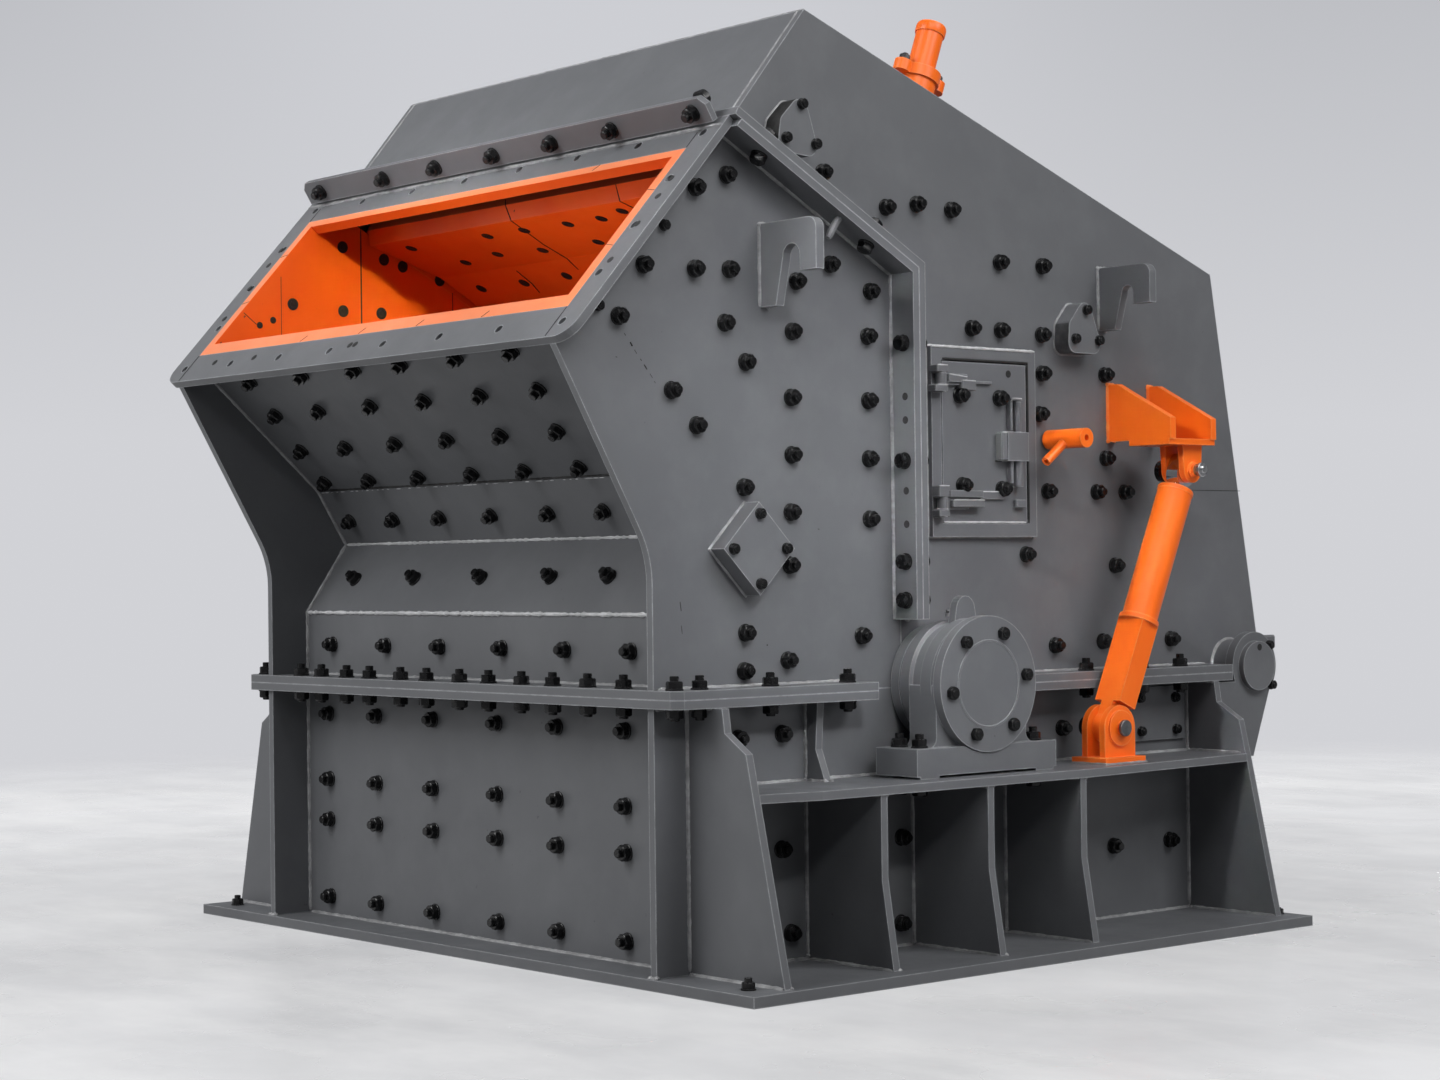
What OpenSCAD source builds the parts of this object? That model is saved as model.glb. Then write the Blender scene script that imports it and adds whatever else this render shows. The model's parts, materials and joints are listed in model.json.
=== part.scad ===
// Impact crusher: lower frame, feed housing, tilting rear hood, rotor and hood cylinders.
// X runs along the rotor, -Y is the feed side, +Y is the hinge side, Z is up.
// The origin is the centre of the base plate's underside.

/* [Overall] */
// Width over the outer faces of the side walls
wall_w = 1600; // [1300:10:1900]
// Thickness of every side, front and rear wall
wall_t = 20; // [12:1:30]
// Thickness of the hood's front plate, roof and rear wall
skin_t = 16; // [10:1:24]

/* [Base] */
// Overall width of the base plate
base_w = 2266; // [2200:2:2730]
// Overall depth of the base plate
base_d = 1860; // [1760:2:2240]
// Thickness of the base plate
base_t = 25; // [15:1:40]
// Radius of the four anchor bolt holes
anchor_r = 15; // [10:1:20]

/* [Lower frame] */
// Height of the joint plane between the lower frame and the housings
joint_z = 631; // [560:1:760]
// Thickness of one joint flange
flange_t = 20; // [12:1:30]
// How far the joint flanges stand out from the side walls
flange_out = 92; // [60:1:120]
// How far the front wall stands back from the edge of the side walls
front_recess = 108; // [60:1:160]
// Height of the top of the side shelves
shelf_z = 430; // [380:1:480]
// Thickness of the side shelves
shelf_t = 20; // [12:1:30]
// Reach of the side shelves beyond the side walls, in the middle
shelf_out = 250; // [220:5:300]
// Thickness of the side ribs
rib_t = 20; // [12:1:30]

/* [Feed housing] */
// Slope of the feed flange from level
feed_slope = 47.8; // [40:0.1:55]
// Length of the feed flange up its slope
feed_len = 683; // [600:1:760]
// Height of the feed flange's lower edge
lip_z = 1407; // [1350:1:1460]
// Reach of the feed flange's lower edge in front of the base plate
lip_out = 258; // [220:1:300]
// Thickness of the feed flange
feed_t = 20; // [12:1:30]
// Width of the strip of the feed flange
feed_strip = 94; // [70:1:110]
// How far the feed flange stands out from the side walls
feed_out = 55; // [30:1:80]
// Lean of the side plates' front edge from upright
plate_lean = 29.5; // [20:0.1:35]
// Radius of the bend in the side plates' front edge
plate_bend_r = 240; // [100:5:300]
// Radius of the holes in the feed flange
feed_hole_r = 11; // [8:1:14]

/* [Hood] */
// Slope of the joint between the housing and the hood, down to the rear
split_slope = 28.5; // [20:0.1:35]
// Distance from the rotor axis forward to the upright part of that joint
split_ahead = 97; // [90:1:120]
// Thickness of one split flange
split_t = 20; // [12:1:30]
// How far the split flanges stand out from the side walls
split_out = 76; // [50:1:85]
// Height of the hood's ridge
ridge_z = 2190; // [2100:1:2300]
// Slope of the hood's front plate from level
hood_front_slope = 50.6; // [46:0.1:56]
// Distance of the hood's front plate behind the feed flange's upper edge
hood_back = 38; // [30:1:60]
// Slope of the roof, down to the rear
roof_slope = 20.1; // [16:0.1:24]
// Lean of the rear wall from upright, out at the foot
rear_lean = 10.2; // [6:0.1:14]
// Distance from the hinge back to the foot of the rear wall
rear_foot = 134; // [110:1:160]

/* [Hinge] */
// Distance of the hinge axis behind the base plate
hinge_back = 94; // [70:1:120]
// Height of the hinge axis above the joint plane
hinge_up = 14; // [10:1:30]
// Radius of the hinge pins
hinge_pin_r = 35; // [25:1:45]
// Outer radius of the hinge tubes on the hood
hinge_tube_r = 68; // [55:1:75]
// Outer radius of the hinge brackets' discs
hinge_disc_r = 88; // [80:1:90]
// Radial clearance of every pin and shaft in its hole
run_gap = 0.05; // [0.02:0.01:0.1]
// Gap between the closed hood and the frame, all along their joint
seal_gap = 0.3; // [0.2:0.1:3]

/* [Rotor] */
// Distance of the rotor axis behind the base plate's front edge
rotor_in = 856; // [840:1:900]
// Height of the rotor axis above the joint plane
rotor_up = 9; // [0:1:30]
// Radius to the tips of the blow bars
tip_r = 570; // [480:5:590]
// Radius of the rotor discs
disc_r = 500; // [400:5:510]
// Thickness of one rotor disc
disc_t = 50; // [30:1:70]
// Number of rotor discs
disc_n = 7; // [5:1:8]
// Radius of the shaft in its bearings
shaft_r = 60; // [45:1:70]
// Radius of the drive end of the shaft
drive_r = 55; // [40:1:60]
// Length of the drive end beyond the bearing cap
drive_len = 210; // [120:5:300]
// Radius of the round shaft opening in the walls
shaft_hole_r = 90; // [80:1:94]

/* [Bearings] */
// Outer radius of the bearing caps
cap_r = 158; // [140:1:165]
// Length of the bearing foot along Y
foot_l = 460; // [420:5:500]
// Height of the bearing foot
foot_h = 63; // [40:1:80]

/* [Hood cylinders] */
// Clearance between the hood's foot flanges and the cylinders' collars
ram_clear = 5; // [5:1:12]
// Distance of the lower pin ahead of the hinge axis
ram_ahead = 638; // [600:1:680]
// Height of the lower pin above the shelf
ram_up = 86; // [75:1:100]
// Distance of the upper pin ahead of the hinge axis
eye_ahead = 353; // [330:1:380]
// Height of the upper pin above the hinge axis
eye_up = 501; // [470:1:530]
// Outer radius of the barrel
barrel_r = 44; // [38:1:46]
// Radius of the piston rod
rod_r = 22; // [16:1:28]
// Radius of the cylinder pins
ram_pin_r = 16; // [12:1:20]

/* [Inspection doors] */
// Width of the door leaf
door_w = 288; // [240:1:300]
// Height of the door leaf
door_h = 383; // [300:1:420]
// Height of the door leaf's lower edge
door_z = 1018; // [980:1:1060]
// Thickness of the door leaf and of its frame
door_t = 16; // [10:1:24]
// Radius of the door's hinge pins
door_pin_r = 7; // [5:0.5:9]

/* [Hidden] */
grey = [0.30, 0.31, 0.32];
dark = [0.20, 0.20, 0.21];
orange = [1.0, 0.33, 0.04];
steel = [0.72, 0.73, 0.75];
$fn = 64;
// Small overshoot of a cut past the face it opens
cut = 1;
// Gap at a sloping welded joint, so that rounded corners never overlap
weld_gap = 0.02;
// Half widths: outer wall face, inner wall face, edge of the joint flanges
hw = wall_w / 2;
iw = hw - wall_t;
flange_x = hw + flange_out;
base_front = -base_d / 2;
base_back = base_d / 2;
hinge_y = base_back + hinge_back;
rotor_y = base_front + rotor_in;
// Front edge of the side walls and outer face of the lower front wall
plate_y = base_front + 11;
front_y = plate_y + front_recess;
// Outer face of the lower rear wall and rear end of the joint flanges
back_y = base_back - 34;
flange_back = base_back - 2;
rotor_z = joint_z + rotor_up;
hinge_z = joint_z + hinge_up;
split_y = rotor_y - split_ahead;

// Point where the line through p at angle a meets the line through q at angle b
function meet(p, a, q, b) =
    let (d = cos(a) * sin(b) - sin(a) * cos(b),
         t = ((q[0] - p[0]) * sin(b) - (q[1] - p[1]) * cos(b)) / d)
    [p[0] + t * cos(a), p[1] + t * sin(a)];
// Point p moved by d along angle a
function go(p, a, d) = [p[0] + d * cos(a), p[1] + d * sin(a)];
// Direction of the line from p to q
function dir(p, q) = atan2(q[1] - p[1], q[0] - p[0]);
function reversed(v) = [for (i = [len(v) - 1:-1:0]) v[i]];
// Line v moved sideways by t, to its left for a positive t
function shifted(v, t) = [for (i = [0:len(v) - 1])
    i == 0 ? go(v[0], dir(v[0], v[1]) + 90, t)
    : i == len(v) - 1 ? go(v[i], dir(v[i - 1], v[i]) + 90, t)
    : meet(go(v[i], dir(v[i - 1], v[i]) + 90, t), dir(v[i - 1], v[i]),
           go(v[i], dir(v[i], v[i + 1]) + 90, t), dir(v[i], v[i + 1]))];
// Closed outline of a plate of thickness t that lies left of line v
function band(v, t) = concat(v, reversed(shifted(v, t)));
// Outline round circles of radius r at the points c, which turn to the left
function lobed(c, r, n = 8) = [for (i = [0:len(c) - 1])
    let (m = len(c), a = dir(c[(i + m - 1) % m], c[i]) - 90, e = dir(c[i], c[(i + 1) % m]) - 90,
         b = e < a ? e + 360 : e)
    for (k = [0:n]) [c[i][0] + r * cos(a + (b - a) * k / n), c[i][1] + r * sin(a + (b - a) * k / n)]];
function arc(c, r, a, b, n) = [for (i = [0:n]) [c[0] + r * cos(a + (b - a) * i / n),
    c[1] + r * sin(a + (b - a) * i / n)]];

// Feed flange: lower and upper edge on its outer face, and where plates meet its underside
lip = [base_front - lip_out, lip_z];
crest = go(lip, feed_slope, feed_len);
under = go(lip, feed_slope - 90, feed_t + weld_gap);
// Joint between housing and hood: from the crest down to the rear, then straight down
split_top = crest;
split_bend = meet(split_top, -split_slope, [split_y, 0], 90);
split_line = [split_top, split_bend, [split_y, joint_z]];
// The same joint on the hood's side of the gap, and the hood's underside
hood_split = shifted(split_line, seal_gap);
hood_z = joint_z + seal_gap;
// Hood outline: foot of the front plate, ridge, roof's rear end, foot of the rear wall
rear_base = [hinge_y + rear_foot, hood_z];
hood_toe = go(hood_split[0], -split_slope, hood_back);
ridge = meet(hood_toe, hood_front_slope, [0, ridge_z], 0);
roof_end = meet(ridge, -roof_slope, rear_base, 90 + rear_lean);
// Folds of the wall under the feed chute, on its outer face
chute_foot_z = 812;
chute_waist = [front_y + 122, 990];
chute_top = go(under, feed_slope, feed_strip - wall_t);
// The upper panel stands square to the feed flange
chute_knee = go(chute_top, feed_slope - 90, 470);
chute_line = [[front_y, joint_z], [front_y, chute_foot_z], chute_waist, chute_knee, chute_top];

// Puts a Y-Z outline upright and gives it the X range x0 to x1
module slab(x0, x1) {
    translate([x0, 0, 0]) rotate([90, 0, 90]) linear_extrude(x1 - x0) children();
}
// Puts an X-Z outline upright, y0 to y1
module wall_y(y0, y1) {
    translate([0, y1, 0]) rotate([90, 0, 0]) linear_extrude(y1 - y0) children();
}
// Places children on the right side and mirrored on the left side
module both() {
    children();
    mirror([1, 0, 0]) children();
}
// Round bar along X
module bar_x(x0, x1, r, p) {
    translate([x0, p[0], p[1]]) rotate([0, 90, 0]) cylinder(h = x1 - x0, r = r);
}
// Coordinates of the feed flange: X, distance up its slope, height above its outer face
module on_feed() {
    translate([0, lip[0], lip[1]]) rotate([feed_slope, 0, 0]) children();
}

/* Lower frame */
anchor_x = base_w / 2 - 83;
anchor_front = base_front + 57;
anchor_back = base_back - 29;
module base_plate() {
    color(grey) difference() {
        translate([-base_w / 2, base_front, 0]) cube([base_w, base_d, base_t]);
        translate([-iw, front_y + wall_t, -cut])
            cube([2 * iw, back_y - front_y - 2 * wall_t, base_t + 2 * cut]);
        for (x = [-anchor_x, anchor_x], y = [anchor_front, anchor_back])
            translate([x, y, -cut]) cylinder(h = base_t + 2 * cut, r = anchor_r);
    }
}
module end_walls() {
    color(grey) for (y = [front_y, back_y - wall_t])
        translate([-iw, y, base_t]) cube([2 * iw, wall_t, joint_z - base_t]);
}
module side_wall() {
    color(grey) difference() {
        translate([iw, plate_y, base_t]) cube([wall_t, back_y - plate_y, joint_z - base_t]);
        bar_x(iw - cut, hw + cut, shaft_hole_r, [rotor_y, rotor_z]);
    }
}
module side_walls() { both() side_wall(); }

// Places of the ribs along Y, from the feed side
rib_front = base_front + 115;
rib_back = base_back - 67;
ribs_mid = [rib_front + 348, rib_front + 685, rib_front + 998];
under_flange = joint_z - flange_t;
shelf_x = hw + shelf_out;
module end_rib(y, foot, knee, neck) {
    wall_y(y - rib_t / 2, y + rib_t / 2)
        polygon([[hw, base_t], [hw + foot, base_t], [hw + knee, shelf_z - shelf_t],
            [hw + knee - 25, shelf_z + 85], [hw + neck + 8, shelf_z + 128],
            [hw + neck, under_flange], [hw, under_flange]]);
}
module mid_rib(y) {
    wall_y(y - rib_t / 2, y + rib_t / 2)
        polygon([[hw, base_t], [shelf_x + 30, base_t], [shelf_x - 4, shelf_z - 208],
            [shelf_x - 4, shelf_z - shelf_t], [hw, shelf_z - shelf_t]]);
}
module upper_rib(y) {
    wall_y(y - rib_t / 2, y + rib_t / 2)
        polygon([[hw, shelf_z], [hw + 64, shelf_z], [hw + 34, shelf_z + 72],
            [hw + 42, under_flange], [hw, under_flange]]);
}
module side_ribs() {
    color(grey) both() {
        end_rib(rib_front, 312, 220, 118);
        end_rib(rib_back, 280, 195, 91);
        for (y = ribs_mid) mid_rib(y);
        upper_rib(ribs_mid[0]);
    }
}
module side_shelves() {
    y0 = rib_front + rib_t / 2;
    y1 = rib_back - rib_t / 2;
    color(grey) both() translate([0, 0, shelf_z - shelf_t]) linear_extrude(shelf_t)
        polygon([[hw, y0], [hw + 216, y0], [shelf_x, y0 + 150], [shelf_x, y0 + 1000],
            [hw + 195, y1], [hw, y1]]);
}
// Joint flange plates round the front and along the rear, gapped at the bearings
gap_front = rotor_y - 258;
gap_back = rotor_y + 258;
module flange_front(z) {
    corner = 22;
    translate([0, 0, z]) linear_extrude(flange_t) polygon([
        [-flange_x, gap_front], [-flange_x, base_front + corner], [-flange_x + corner, base_front],
        [flange_x - corner, base_front], [flange_x, base_front + corner], [flange_x, gap_front],
        [hw, gap_front], [hw, plate_y], [iw, plate_y], [iw, front_y],
        [-iw, front_y], [-iw, plate_y], [-hw, plate_y], [-hw, gap_front]]);
}
module flange_side(z) {
    translate([hw, gap_back, z]) cube([flange_out, flange_back - gap_back, flange_t]);
}
module flange_rear(z) {
    translate([-hw, back_y, z]) cube([2 * hw, flange_back - back_y, flange_t]);
}
module lower_flange() {
    color(grey) {
        flange_front(joint_z - flange_t);
        both() flange_side(joint_z - flange_t);
        flange_rear(joint_z - flange_t);
    }
}

/* Feed housing */
// Both ends of line v brought to the line through p at angle a, at its last point
function ended(v, p, a) = let (n = len(v) - 1)
    [for (i = [0:n]) i < n ? v[i] : meet(v[i], dir(v[i - 1], v[i]), p, a)];
// Outline of a plate of thickness t left of line v, cut off by the line through p at angle a
function band_to(v, t, p, a) = concat(ended(v, p, a), reversed(ended(shifted(v, t), p, a)));
plate_bend = meet([plate_y, 0], 90, under, 90 + plate_lean);
plate_bend_z = plate_bend[1] - plate_bend_r * tan(plate_lean / 2);
module housing_side() {
    color(grey) slab(iw, hw) polygon(concat([[plate_y, joint_z]],
        arc([plate_y - plate_bend_r, plate_bend_z], plate_bend_r, 0, plate_lean, 12),
        [under, meet(under, feed_slope, split_top, -split_slope), split_bend, [split_y, joint_z]]));
}
module housing_sides() { both() housing_side(); }
module chute_wall() {
    color(grey) slab(-iw, iw) polygon(band_to(chute_line, -wall_t, under, feed_slope));
}
module housing_foot_flange() { color(grey) flange_front(joint_z); }
// Lower end of the split flanges, clear of the bearing housings
split_foot_z = rotor_z + 150;
// How far the cross strips of the split flanges reach along the joint
cross_l = 75;
module housing_split_flange() {
    // Both faces start at the feed flange's underside
    face = meet(under, feed_slope, split_top, -split_slope);
    back = meet(under, feed_slope, go(split_top, -split_slope - 90, split_t), -split_slope);
    cross_end = go(split_top, -split_slope, cross_l);
    legs = [face, split_bend, [split_y, split_foot_z]];
    legs_back = shifted(legs, -split_t);
    color(grey) {
        both() slab(hw, hw + split_out) polygon(concat(legs, [legs_back[2], legs_back[1], back]));
        slab(-iw, iw) polygon([face, cross_end, go(cross_end, -split_slope - 90, split_t), back]);
    }
}
feed_x = hw + feed_out;
// Bolt holes of the feed flange: along its two long strips and its two sides
feed_hole_x = iw + 22;
feed_hole_v = feed_strip / 2;
feed_hole_n = 8;
// Rounding of the flange's two lower corners
feed_corner_r = 50;
module feed_flange() {
    color(grey) on_feed() difference() {
        translate([0, 0, -feed_t]) linear_extrude(feed_t) polygon(concat(
            arc([feed_x - feed_corner_r, feed_corner_r], feed_corner_r, -90, 0, 8),
            [[feed_x, feed_len], [-feed_x, feed_len]],
            arc([feed_corner_r - feed_x, feed_corner_r], feed_corner_r, 180, 270, 8)));
        translate([-iw, feed_strip, -feed_t - cut])
            cube([2 * iw, feed_len - 2 * feed_strip, feed_t + 2 * cut]);
        for (i = [0:feed_hole_n - 1], v = [feed_hole_v, feed_len - feed_hole_v])
            translate([feed_hole_x * (2 * i / (feed_hole_n - 1) - 1), v, -feed_t - cut])
                cylinder(h = feed_t + 2 * cut, r = feed_hole_r);
        for (x = [-feed_hole_x, feed_hole_x], k = [1:3])
            translate([x, feed_hole_v + k * (feed_len - 2 * feed_hole_v) / 4, -feed_t - cut])
                cylinder(h = feed_t + 2 * cut, r = feed_hole_r);
    }
}
// Beam across the top of the feed flange, leaning forward
beam_h = 68;
beam_t = 16;
beam_lean = 32;
// It stops short of the flange's sides and stands back from its upper edge
beam_x = feed_x - 25;
beam_back = 22;
module top_beam() {
    corner = 18;
    color(grey) on_feed() translate([0, feed_len - beam_back, 0])
        rotate([90 - feed_slope + beam_lean, 0, 0])
        linear_extrude(beam_t, center = true)
        polygon([[-beam_x, 8], [-beam_x, beam_h - corner], [corner - beam_x, beam_h],
            [beam_x - corner, beam_h], [beam_x, beam_h - corner], [beam_x, 8]]);
}
liner_t = 30;
chute_liner_t = 38;
lintel_h = 22;
lintel_depth = 26;
chute_back = shifted(chute_line, -wall_t - weld_gap);
chute_inner = [chute_back[2], chute_back[3], chute_back[4]];
chute_lined = shifted(chute_inner, -chute_liner_t);
// Liners across the feed opening, on the chute wall and along the upper strip
module feed_liners() {
    color(orange) {
        slab(-iw, iw) polygon(band_to(chute_inner, -chute_liner_t, lip, feed_slope));
        on_feed() translate([-iw, feed_len - feed_strip - lintel_h, -lintel_depth])
            cube([2 * iw, lintel_h, lintel_depth]);
    }
}
module side_liner() {
    // Under the joint and in front of its upright part the liner keeps this margin
    margin = 34;
    lintel_low = go(lip, feed_slope, feed_len - feed_strip - lintel_h);
    lintel_in = go(lintel_low, feed_slope - 90, lintel_depth);
    roof_p = go(split_top, -split_slope - 90, margin);
    top_rear = meet(roof_p, -split_slope, [split_y - margin, 0], 90);
    sill = meet(chute_lined[1], dir(chute_lined[1], chute_lined[2]), lip, feed_slope);
    color(orange) slab(iw - liner_t, iw) polygon([sill, lintel_low, lintel_in,
        meet(lintel_in, feed_slope, roof_p, -split_slope), top_rear,
        [top_rear[0], chute_waist[1]], chute_lined[0], chute_lined[1]]);
}
module side_liners() { both() side_liner(); }
// Square covers on the pivots of the lower impact plate, standing on one corner
cover_y = plate_y + 268;
cover_z = 957;
module housing_covers() {
    color(grey) both() translate([hw, cover_y, cover_z]) rotate([45, 0, 0]) rotate([0, 90, 0])
        difference() {
            translate([-74, -74, 0]) cube([148, 148, 50]);
            translate([0, 0, -cut]) cylinder(h = 30, r = 40);
        }
}
// Lifting hooks that stand out from the walls, open downward: the leg on the wall, which
// is narrower at its foot, the mouth and the shorter outer leg
hook_z = 1500;
hook_t = 24;
hook_leg = 79;
hook_foot = 54;
hook_tip = 54;
hook_corner = 26;
module hook(y, reach, h) {
    mouth_r = (reach - hook_leg - hook_tip) / 2;
    mouth_x = hw + hook_leg + mouth_r;
    mouth_z = hook_z + 0.565 * h;
    tip_z = hook_z + 0.38 * h;
    wall_y(y - hook_t / 2, y + hook_t / 2) polygon(concat([[hw, hook_z], [hw, hook_z + h]],
        arc([hw + reach - hook_corner, hook_z + h - hook_corner], hook_corner, 90, 0, 6),
        [[hw + reach, tip_z], [hw + reach - hook_tip, tip_z]],
        arc([mouth_x, mouth_z], mouth_r, 0, 180, 10),
        [[hw + hook_foot, hook_z]]));
}
module housing_hooks() { color(grey) both() hook(rotor_y - 512, 189, 188); }

/* Bearings */
bearing_in = hw + 6;
bearing_out = hw + 165;
cap_t = 25;
cap_gap = 2;
// Shims under the four corners of the foot
shim_t = 6;
shim_w = 50;
shim_l = 60;
foot_x0 = hw + 50;
foot_x1 = bearing_out + 20;
foot_z = shelf_z + shim_t;
// Housing's outline along its axis: [distance from the wall, how much smaller than the cap]
housing_steps = [[6, 20], [34, 20], [34, 38], [42, 38], [46, 12], [78, 9], [84, 16], [112, 14], [116, 8],
    [150, 8], [154, 14], [165, 14]];
pedestal_y = cap_r - 10;
fillet_r = 22;
lug_r = 30;
lug_t = 22;
lug_x = hw + 96;
module bearing() {
    foot_top = foot_z + foot_h;
    difference() {
        union() {
            translate([foot_x0, rotor_y - foot_l / 2, foot_z])
                cube([foot_x1 - foot_x0, foot_l, foot_h]);
            slab(foot_x0 + 28, bearing_out) polygon(concat([[rotor_y - pedestal_y, rotor_z]],
                arc([rotor_y - pedestal_y - fillet_r, foot_top + fillet_r], fillet_r, 0, -90, 8),
                arc([rotor_y + pedestal_y + fillet_r, foot_top + fillet_r], fillet_r, -90, -180, 8),
                [[rotor_y + pedestal_y, rotor_z]]));
            at_rotor() rotate_extrude(convexity = 4)
                polygon(concat([[shaft_r, hw + housing_steps[0][0]]],
                    [for (s = housing_steps) [cap_r - s[1], hw + s[0]]], [[shaft_r, bearing_out]]));
            slab(lug_x, lug_x + lug_t)
                polygon(lobed([[rotor_y, rotor_z + cap_r + 16], [rotor_y - 14, rotor_z + cap_r - 60],
                    [rotor_y + 14, rotor_z + cap_r - 60]], lug_r));
            for (y = [-1, 1], x = [foot_x0, foot_x1 - shim_w])
                translate([x, rotor_y + y * (foot_l / 2 - 40) - shim_l / 2, shelf_z])
                    cube([shim_w, shim_l, shim_t + cut]);
        }
        bar_x(bearing_in - cut, bearing_out + cut, shaft_r + run_gap, [rotor_y, rotor_z]);
        // Room for the cap, which reaches below the top of the foot
        bar_x(bearing_out, foot_x1 + cut, cap_r + cap_gap, [rotor_y, rotor_z]);
    }
}
module bearings() { color(grey) both() bearing(); }
cap_x = bearing_out + cap_t;
// Radial room between the shaft and the hole in the open cap
seal_r = 3;
module bearing_caps() {
    color(grey) {
        bar_x(bearing_out, cap_x, cap_r, [rotor_y, rotor_z]);
        mirror([1, 0, 0]) difference() {
            bar_x(bearing_out, cap_x, cap_r, [rotor_y, rotor_z]);
            bar_x(bearing_out - cut, cap_x + cut, shaft_r + seal_r, [rotor_y, rotor_z]);
        }
    }
}

/* Rotor */
// Half length of the rotor between the side walls, and the shaft end's gap to the closed cap
rotor_x = iw - 55;
shaft_end_gap = 5;
bar_w = 80;
bar_depth = 140;
bar_turn = 20;
bar_n = 4;
module at_rotor() { translate([0, rotor_y, rotor_z]) rotate([0, 90, 0]) children(); }
module bars(x0, x1) {
    for (i = [0:bar_n - 1]) rotate([0, 0, bar_turn + i * 360 / bar_n])
        translate([tip_r - bar_depth, -bar_w / 2, x0]) cube([bar_depth, bar_w, x1 - x0]);
}
// The shaft carries the discs and ends in a thinner drive end
module rotor_shaft() {
    color(grey) at_rotor() {
        translate([0, 0, -cap_x]) cylinder(h = cap_x + bearing_out - shaft_end_gap, r = shaft_r);
        translate([0, 0, -cap_x - drive_len]) cylinder(h = cap_x + drive_len, r = drive_r);
    }
}
module rotor_discs() {
    pitch = (2 * rotor_x - disc_t) / (disc_n - 1);
    color(grey) at_rotor() difference() {
        union() for (i = [0:disc_n - 1])
            translate([0, 0, i * pitch - rotor_x]) cylinder(h = disc_t, r = disc_r);
        bars(-rotor_x - cut, rotor_x + cut);
        translate([0, 0, -rotor_x - cut]) cylinder(h = 2 * (rotor_x + cut), r = shaft_r);
    }
}
module blow_bars() { color(dark) at_rotor() bars(-rotor_x, rotor_x); }

/* Hood */
hood_line = [hood_toe, ridge, roof_end, rear_base];
hood_inner = shifted(hood_line, -skin_t);
// The inner line's two ends, brought to the joint between housing and hood
hood_in_toe = meet(hood_inner[0], hood_front_slope, hood_split[0], -split_slope);
hood_in_foot = meet(hood_inner[2], dir(hood_inner[2], hood_inner[3]), rear_base, 0);
handle_y = hinge_y - 684;
handle_z = 1222;
handle_stub_r = 15;
door_y0 = split_y + 130;
door_y1 = door_y0 + door_w;
door_z1 = door_z + door_h;
sill_w = 12;
module hood_side() {
    color(grey) difference() {
        slab(iw, hw) polygon([[hood_split[2][0], hood_z], hood_split[1], hood_toe, ridge, roof_end,
            rear_base]);
        bar_x(iw - cut, hw + cut, shaft_hole_r, [rotor_y, rotor_z]);
        bar_x(iw - cut, hw + cut, hinge_pin_r + run_gap, [hinge_y, hinge_z]);
        bar_x(iw - cut, hw + cut, handle_stub_r + run_gap, [handle_y, handle_z]);
        translate([iw - cut, door_y0 + sill_w, door_z + sill_w])
            cube([wall_t + 2 * cut, door_w - 2 * sill_w, door_h - 2 * sill_w]);
    }
}
module hood_sides() { both() hood_side(); }
module hood_front_plate() {
    color(grey) slab(-iw, iw) polygon([hood_toe, ridge, hood_inner[1], hood_in_toe]);
}
module hood_roof() {
    color(grey) slab(-iw, iw) polygon([ridge, roof_end, hood_inner[2], hood_inner[1]]);
}
module hood_rear_wall() {
    color(grey) slab(-iw, iw) polygon([roof_end, rear_base, hood_in_foot, hood_inner[2]]);
}
module hood_foot_flange() { color(grey) both() flange_side(hood_z); }
module hood_split_flange() {
    strip_top = go(hood_split[0], 90 - split_slope, split_t);
    color(grey) {
        both() slab(hw, hw + split_out)
            polygon(band([hood_split[0], hood_split[1], [hood_split[2][0], split_foot_z]], split_t));
        slab(-hw, hw) polygon([hood_split[0], hood_toe,
            meet(hood_toe, hood_front_slope, strip_top, -split_slope), strip_top]);
    }
}
tube_x = hw + 56;
bracket_x = tube_x + 5;
bracket_t = 25;
module hinge_tubes() {
    color(grey) both() difference() {
        bar_x(hw, tube_x, hinge_tube_r, [hinge_y, hinge_z]);
        bar_x(hw - cut, tube_x + cut, hinge_pin_r + run_gap, [hinge_y, hinge_z]);
    }
}
module hinge_bracket() {
    y0 = rib_back + rib_t / 2;
    z0 = shelf_z - shelf_t;
    z1 = under_flange - 5;
    axis_p = [hinge_y, hinge_z];
    slab(bracket_x, bracket_x + bracket_t) polygon([[y0, z0], [hinge_y - 9, z0],
        [hinge_y + 0.68 * hinge_disc_r, hinge_z - 0.72 * hinge_disc_r], axis_p,
        [hinge_y - 0.8 * hinge_disc_r, z1], [y0, z1]]);
    translate([hw, y0, z0]) cube([bracket_x + cut - hw, hinge_y - 9 - y0, shelf_t]);
    bar_x(bracket_x, bracket_x + bracket_t, hinge_disc_r, axis_p);
    bar_x(bracket_x + bracket_t - cut, bracket_x + bracket_t + 16, hinge_disc_r - 24, axis_p);
    bar_x(iw - 5, bracket_x + cut, hinge_pin_r, axis_p);
}
module hinge_brackets() { color(grey) both() hinge_bracket(); }

/* Impact plates that hang in the hood */
apron_x = iw - 40;
pivot_r = 45;
first_pivot = [rotor_y - 435, 1903];
second_pivot = [hinge_y - 573, 1490];
module apron(pivot, outline) {
    color(orange) {
        slab(-apron_x, apron_x) polygon(outline);
        bar_x(-iw, iw, pivot_r, pivot);
    }
}
module first_apron() {
    a = first_pivot;
    apron(a, [a + [-127, -75], a + [-121, -115], a + [105, -188], a + [249, -271],
        [rotor_y + 134, rotor_z + tip_r + 52], [rotor_y + 199, rotor_z + tip_r + 90],
        a + [349, -175], a + [129, -65], a + [50, 30], a + [-50, 30]]);
}
module second_apron() {
    a = second_pivot;
    apron(a, [a + [-70, 60], a + [-20, -200], a + [109, -530], a + [134, -720],
        a + [199, -710], a + [189, -490], a + [109, -190], a + [70, 60]]);
}
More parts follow.
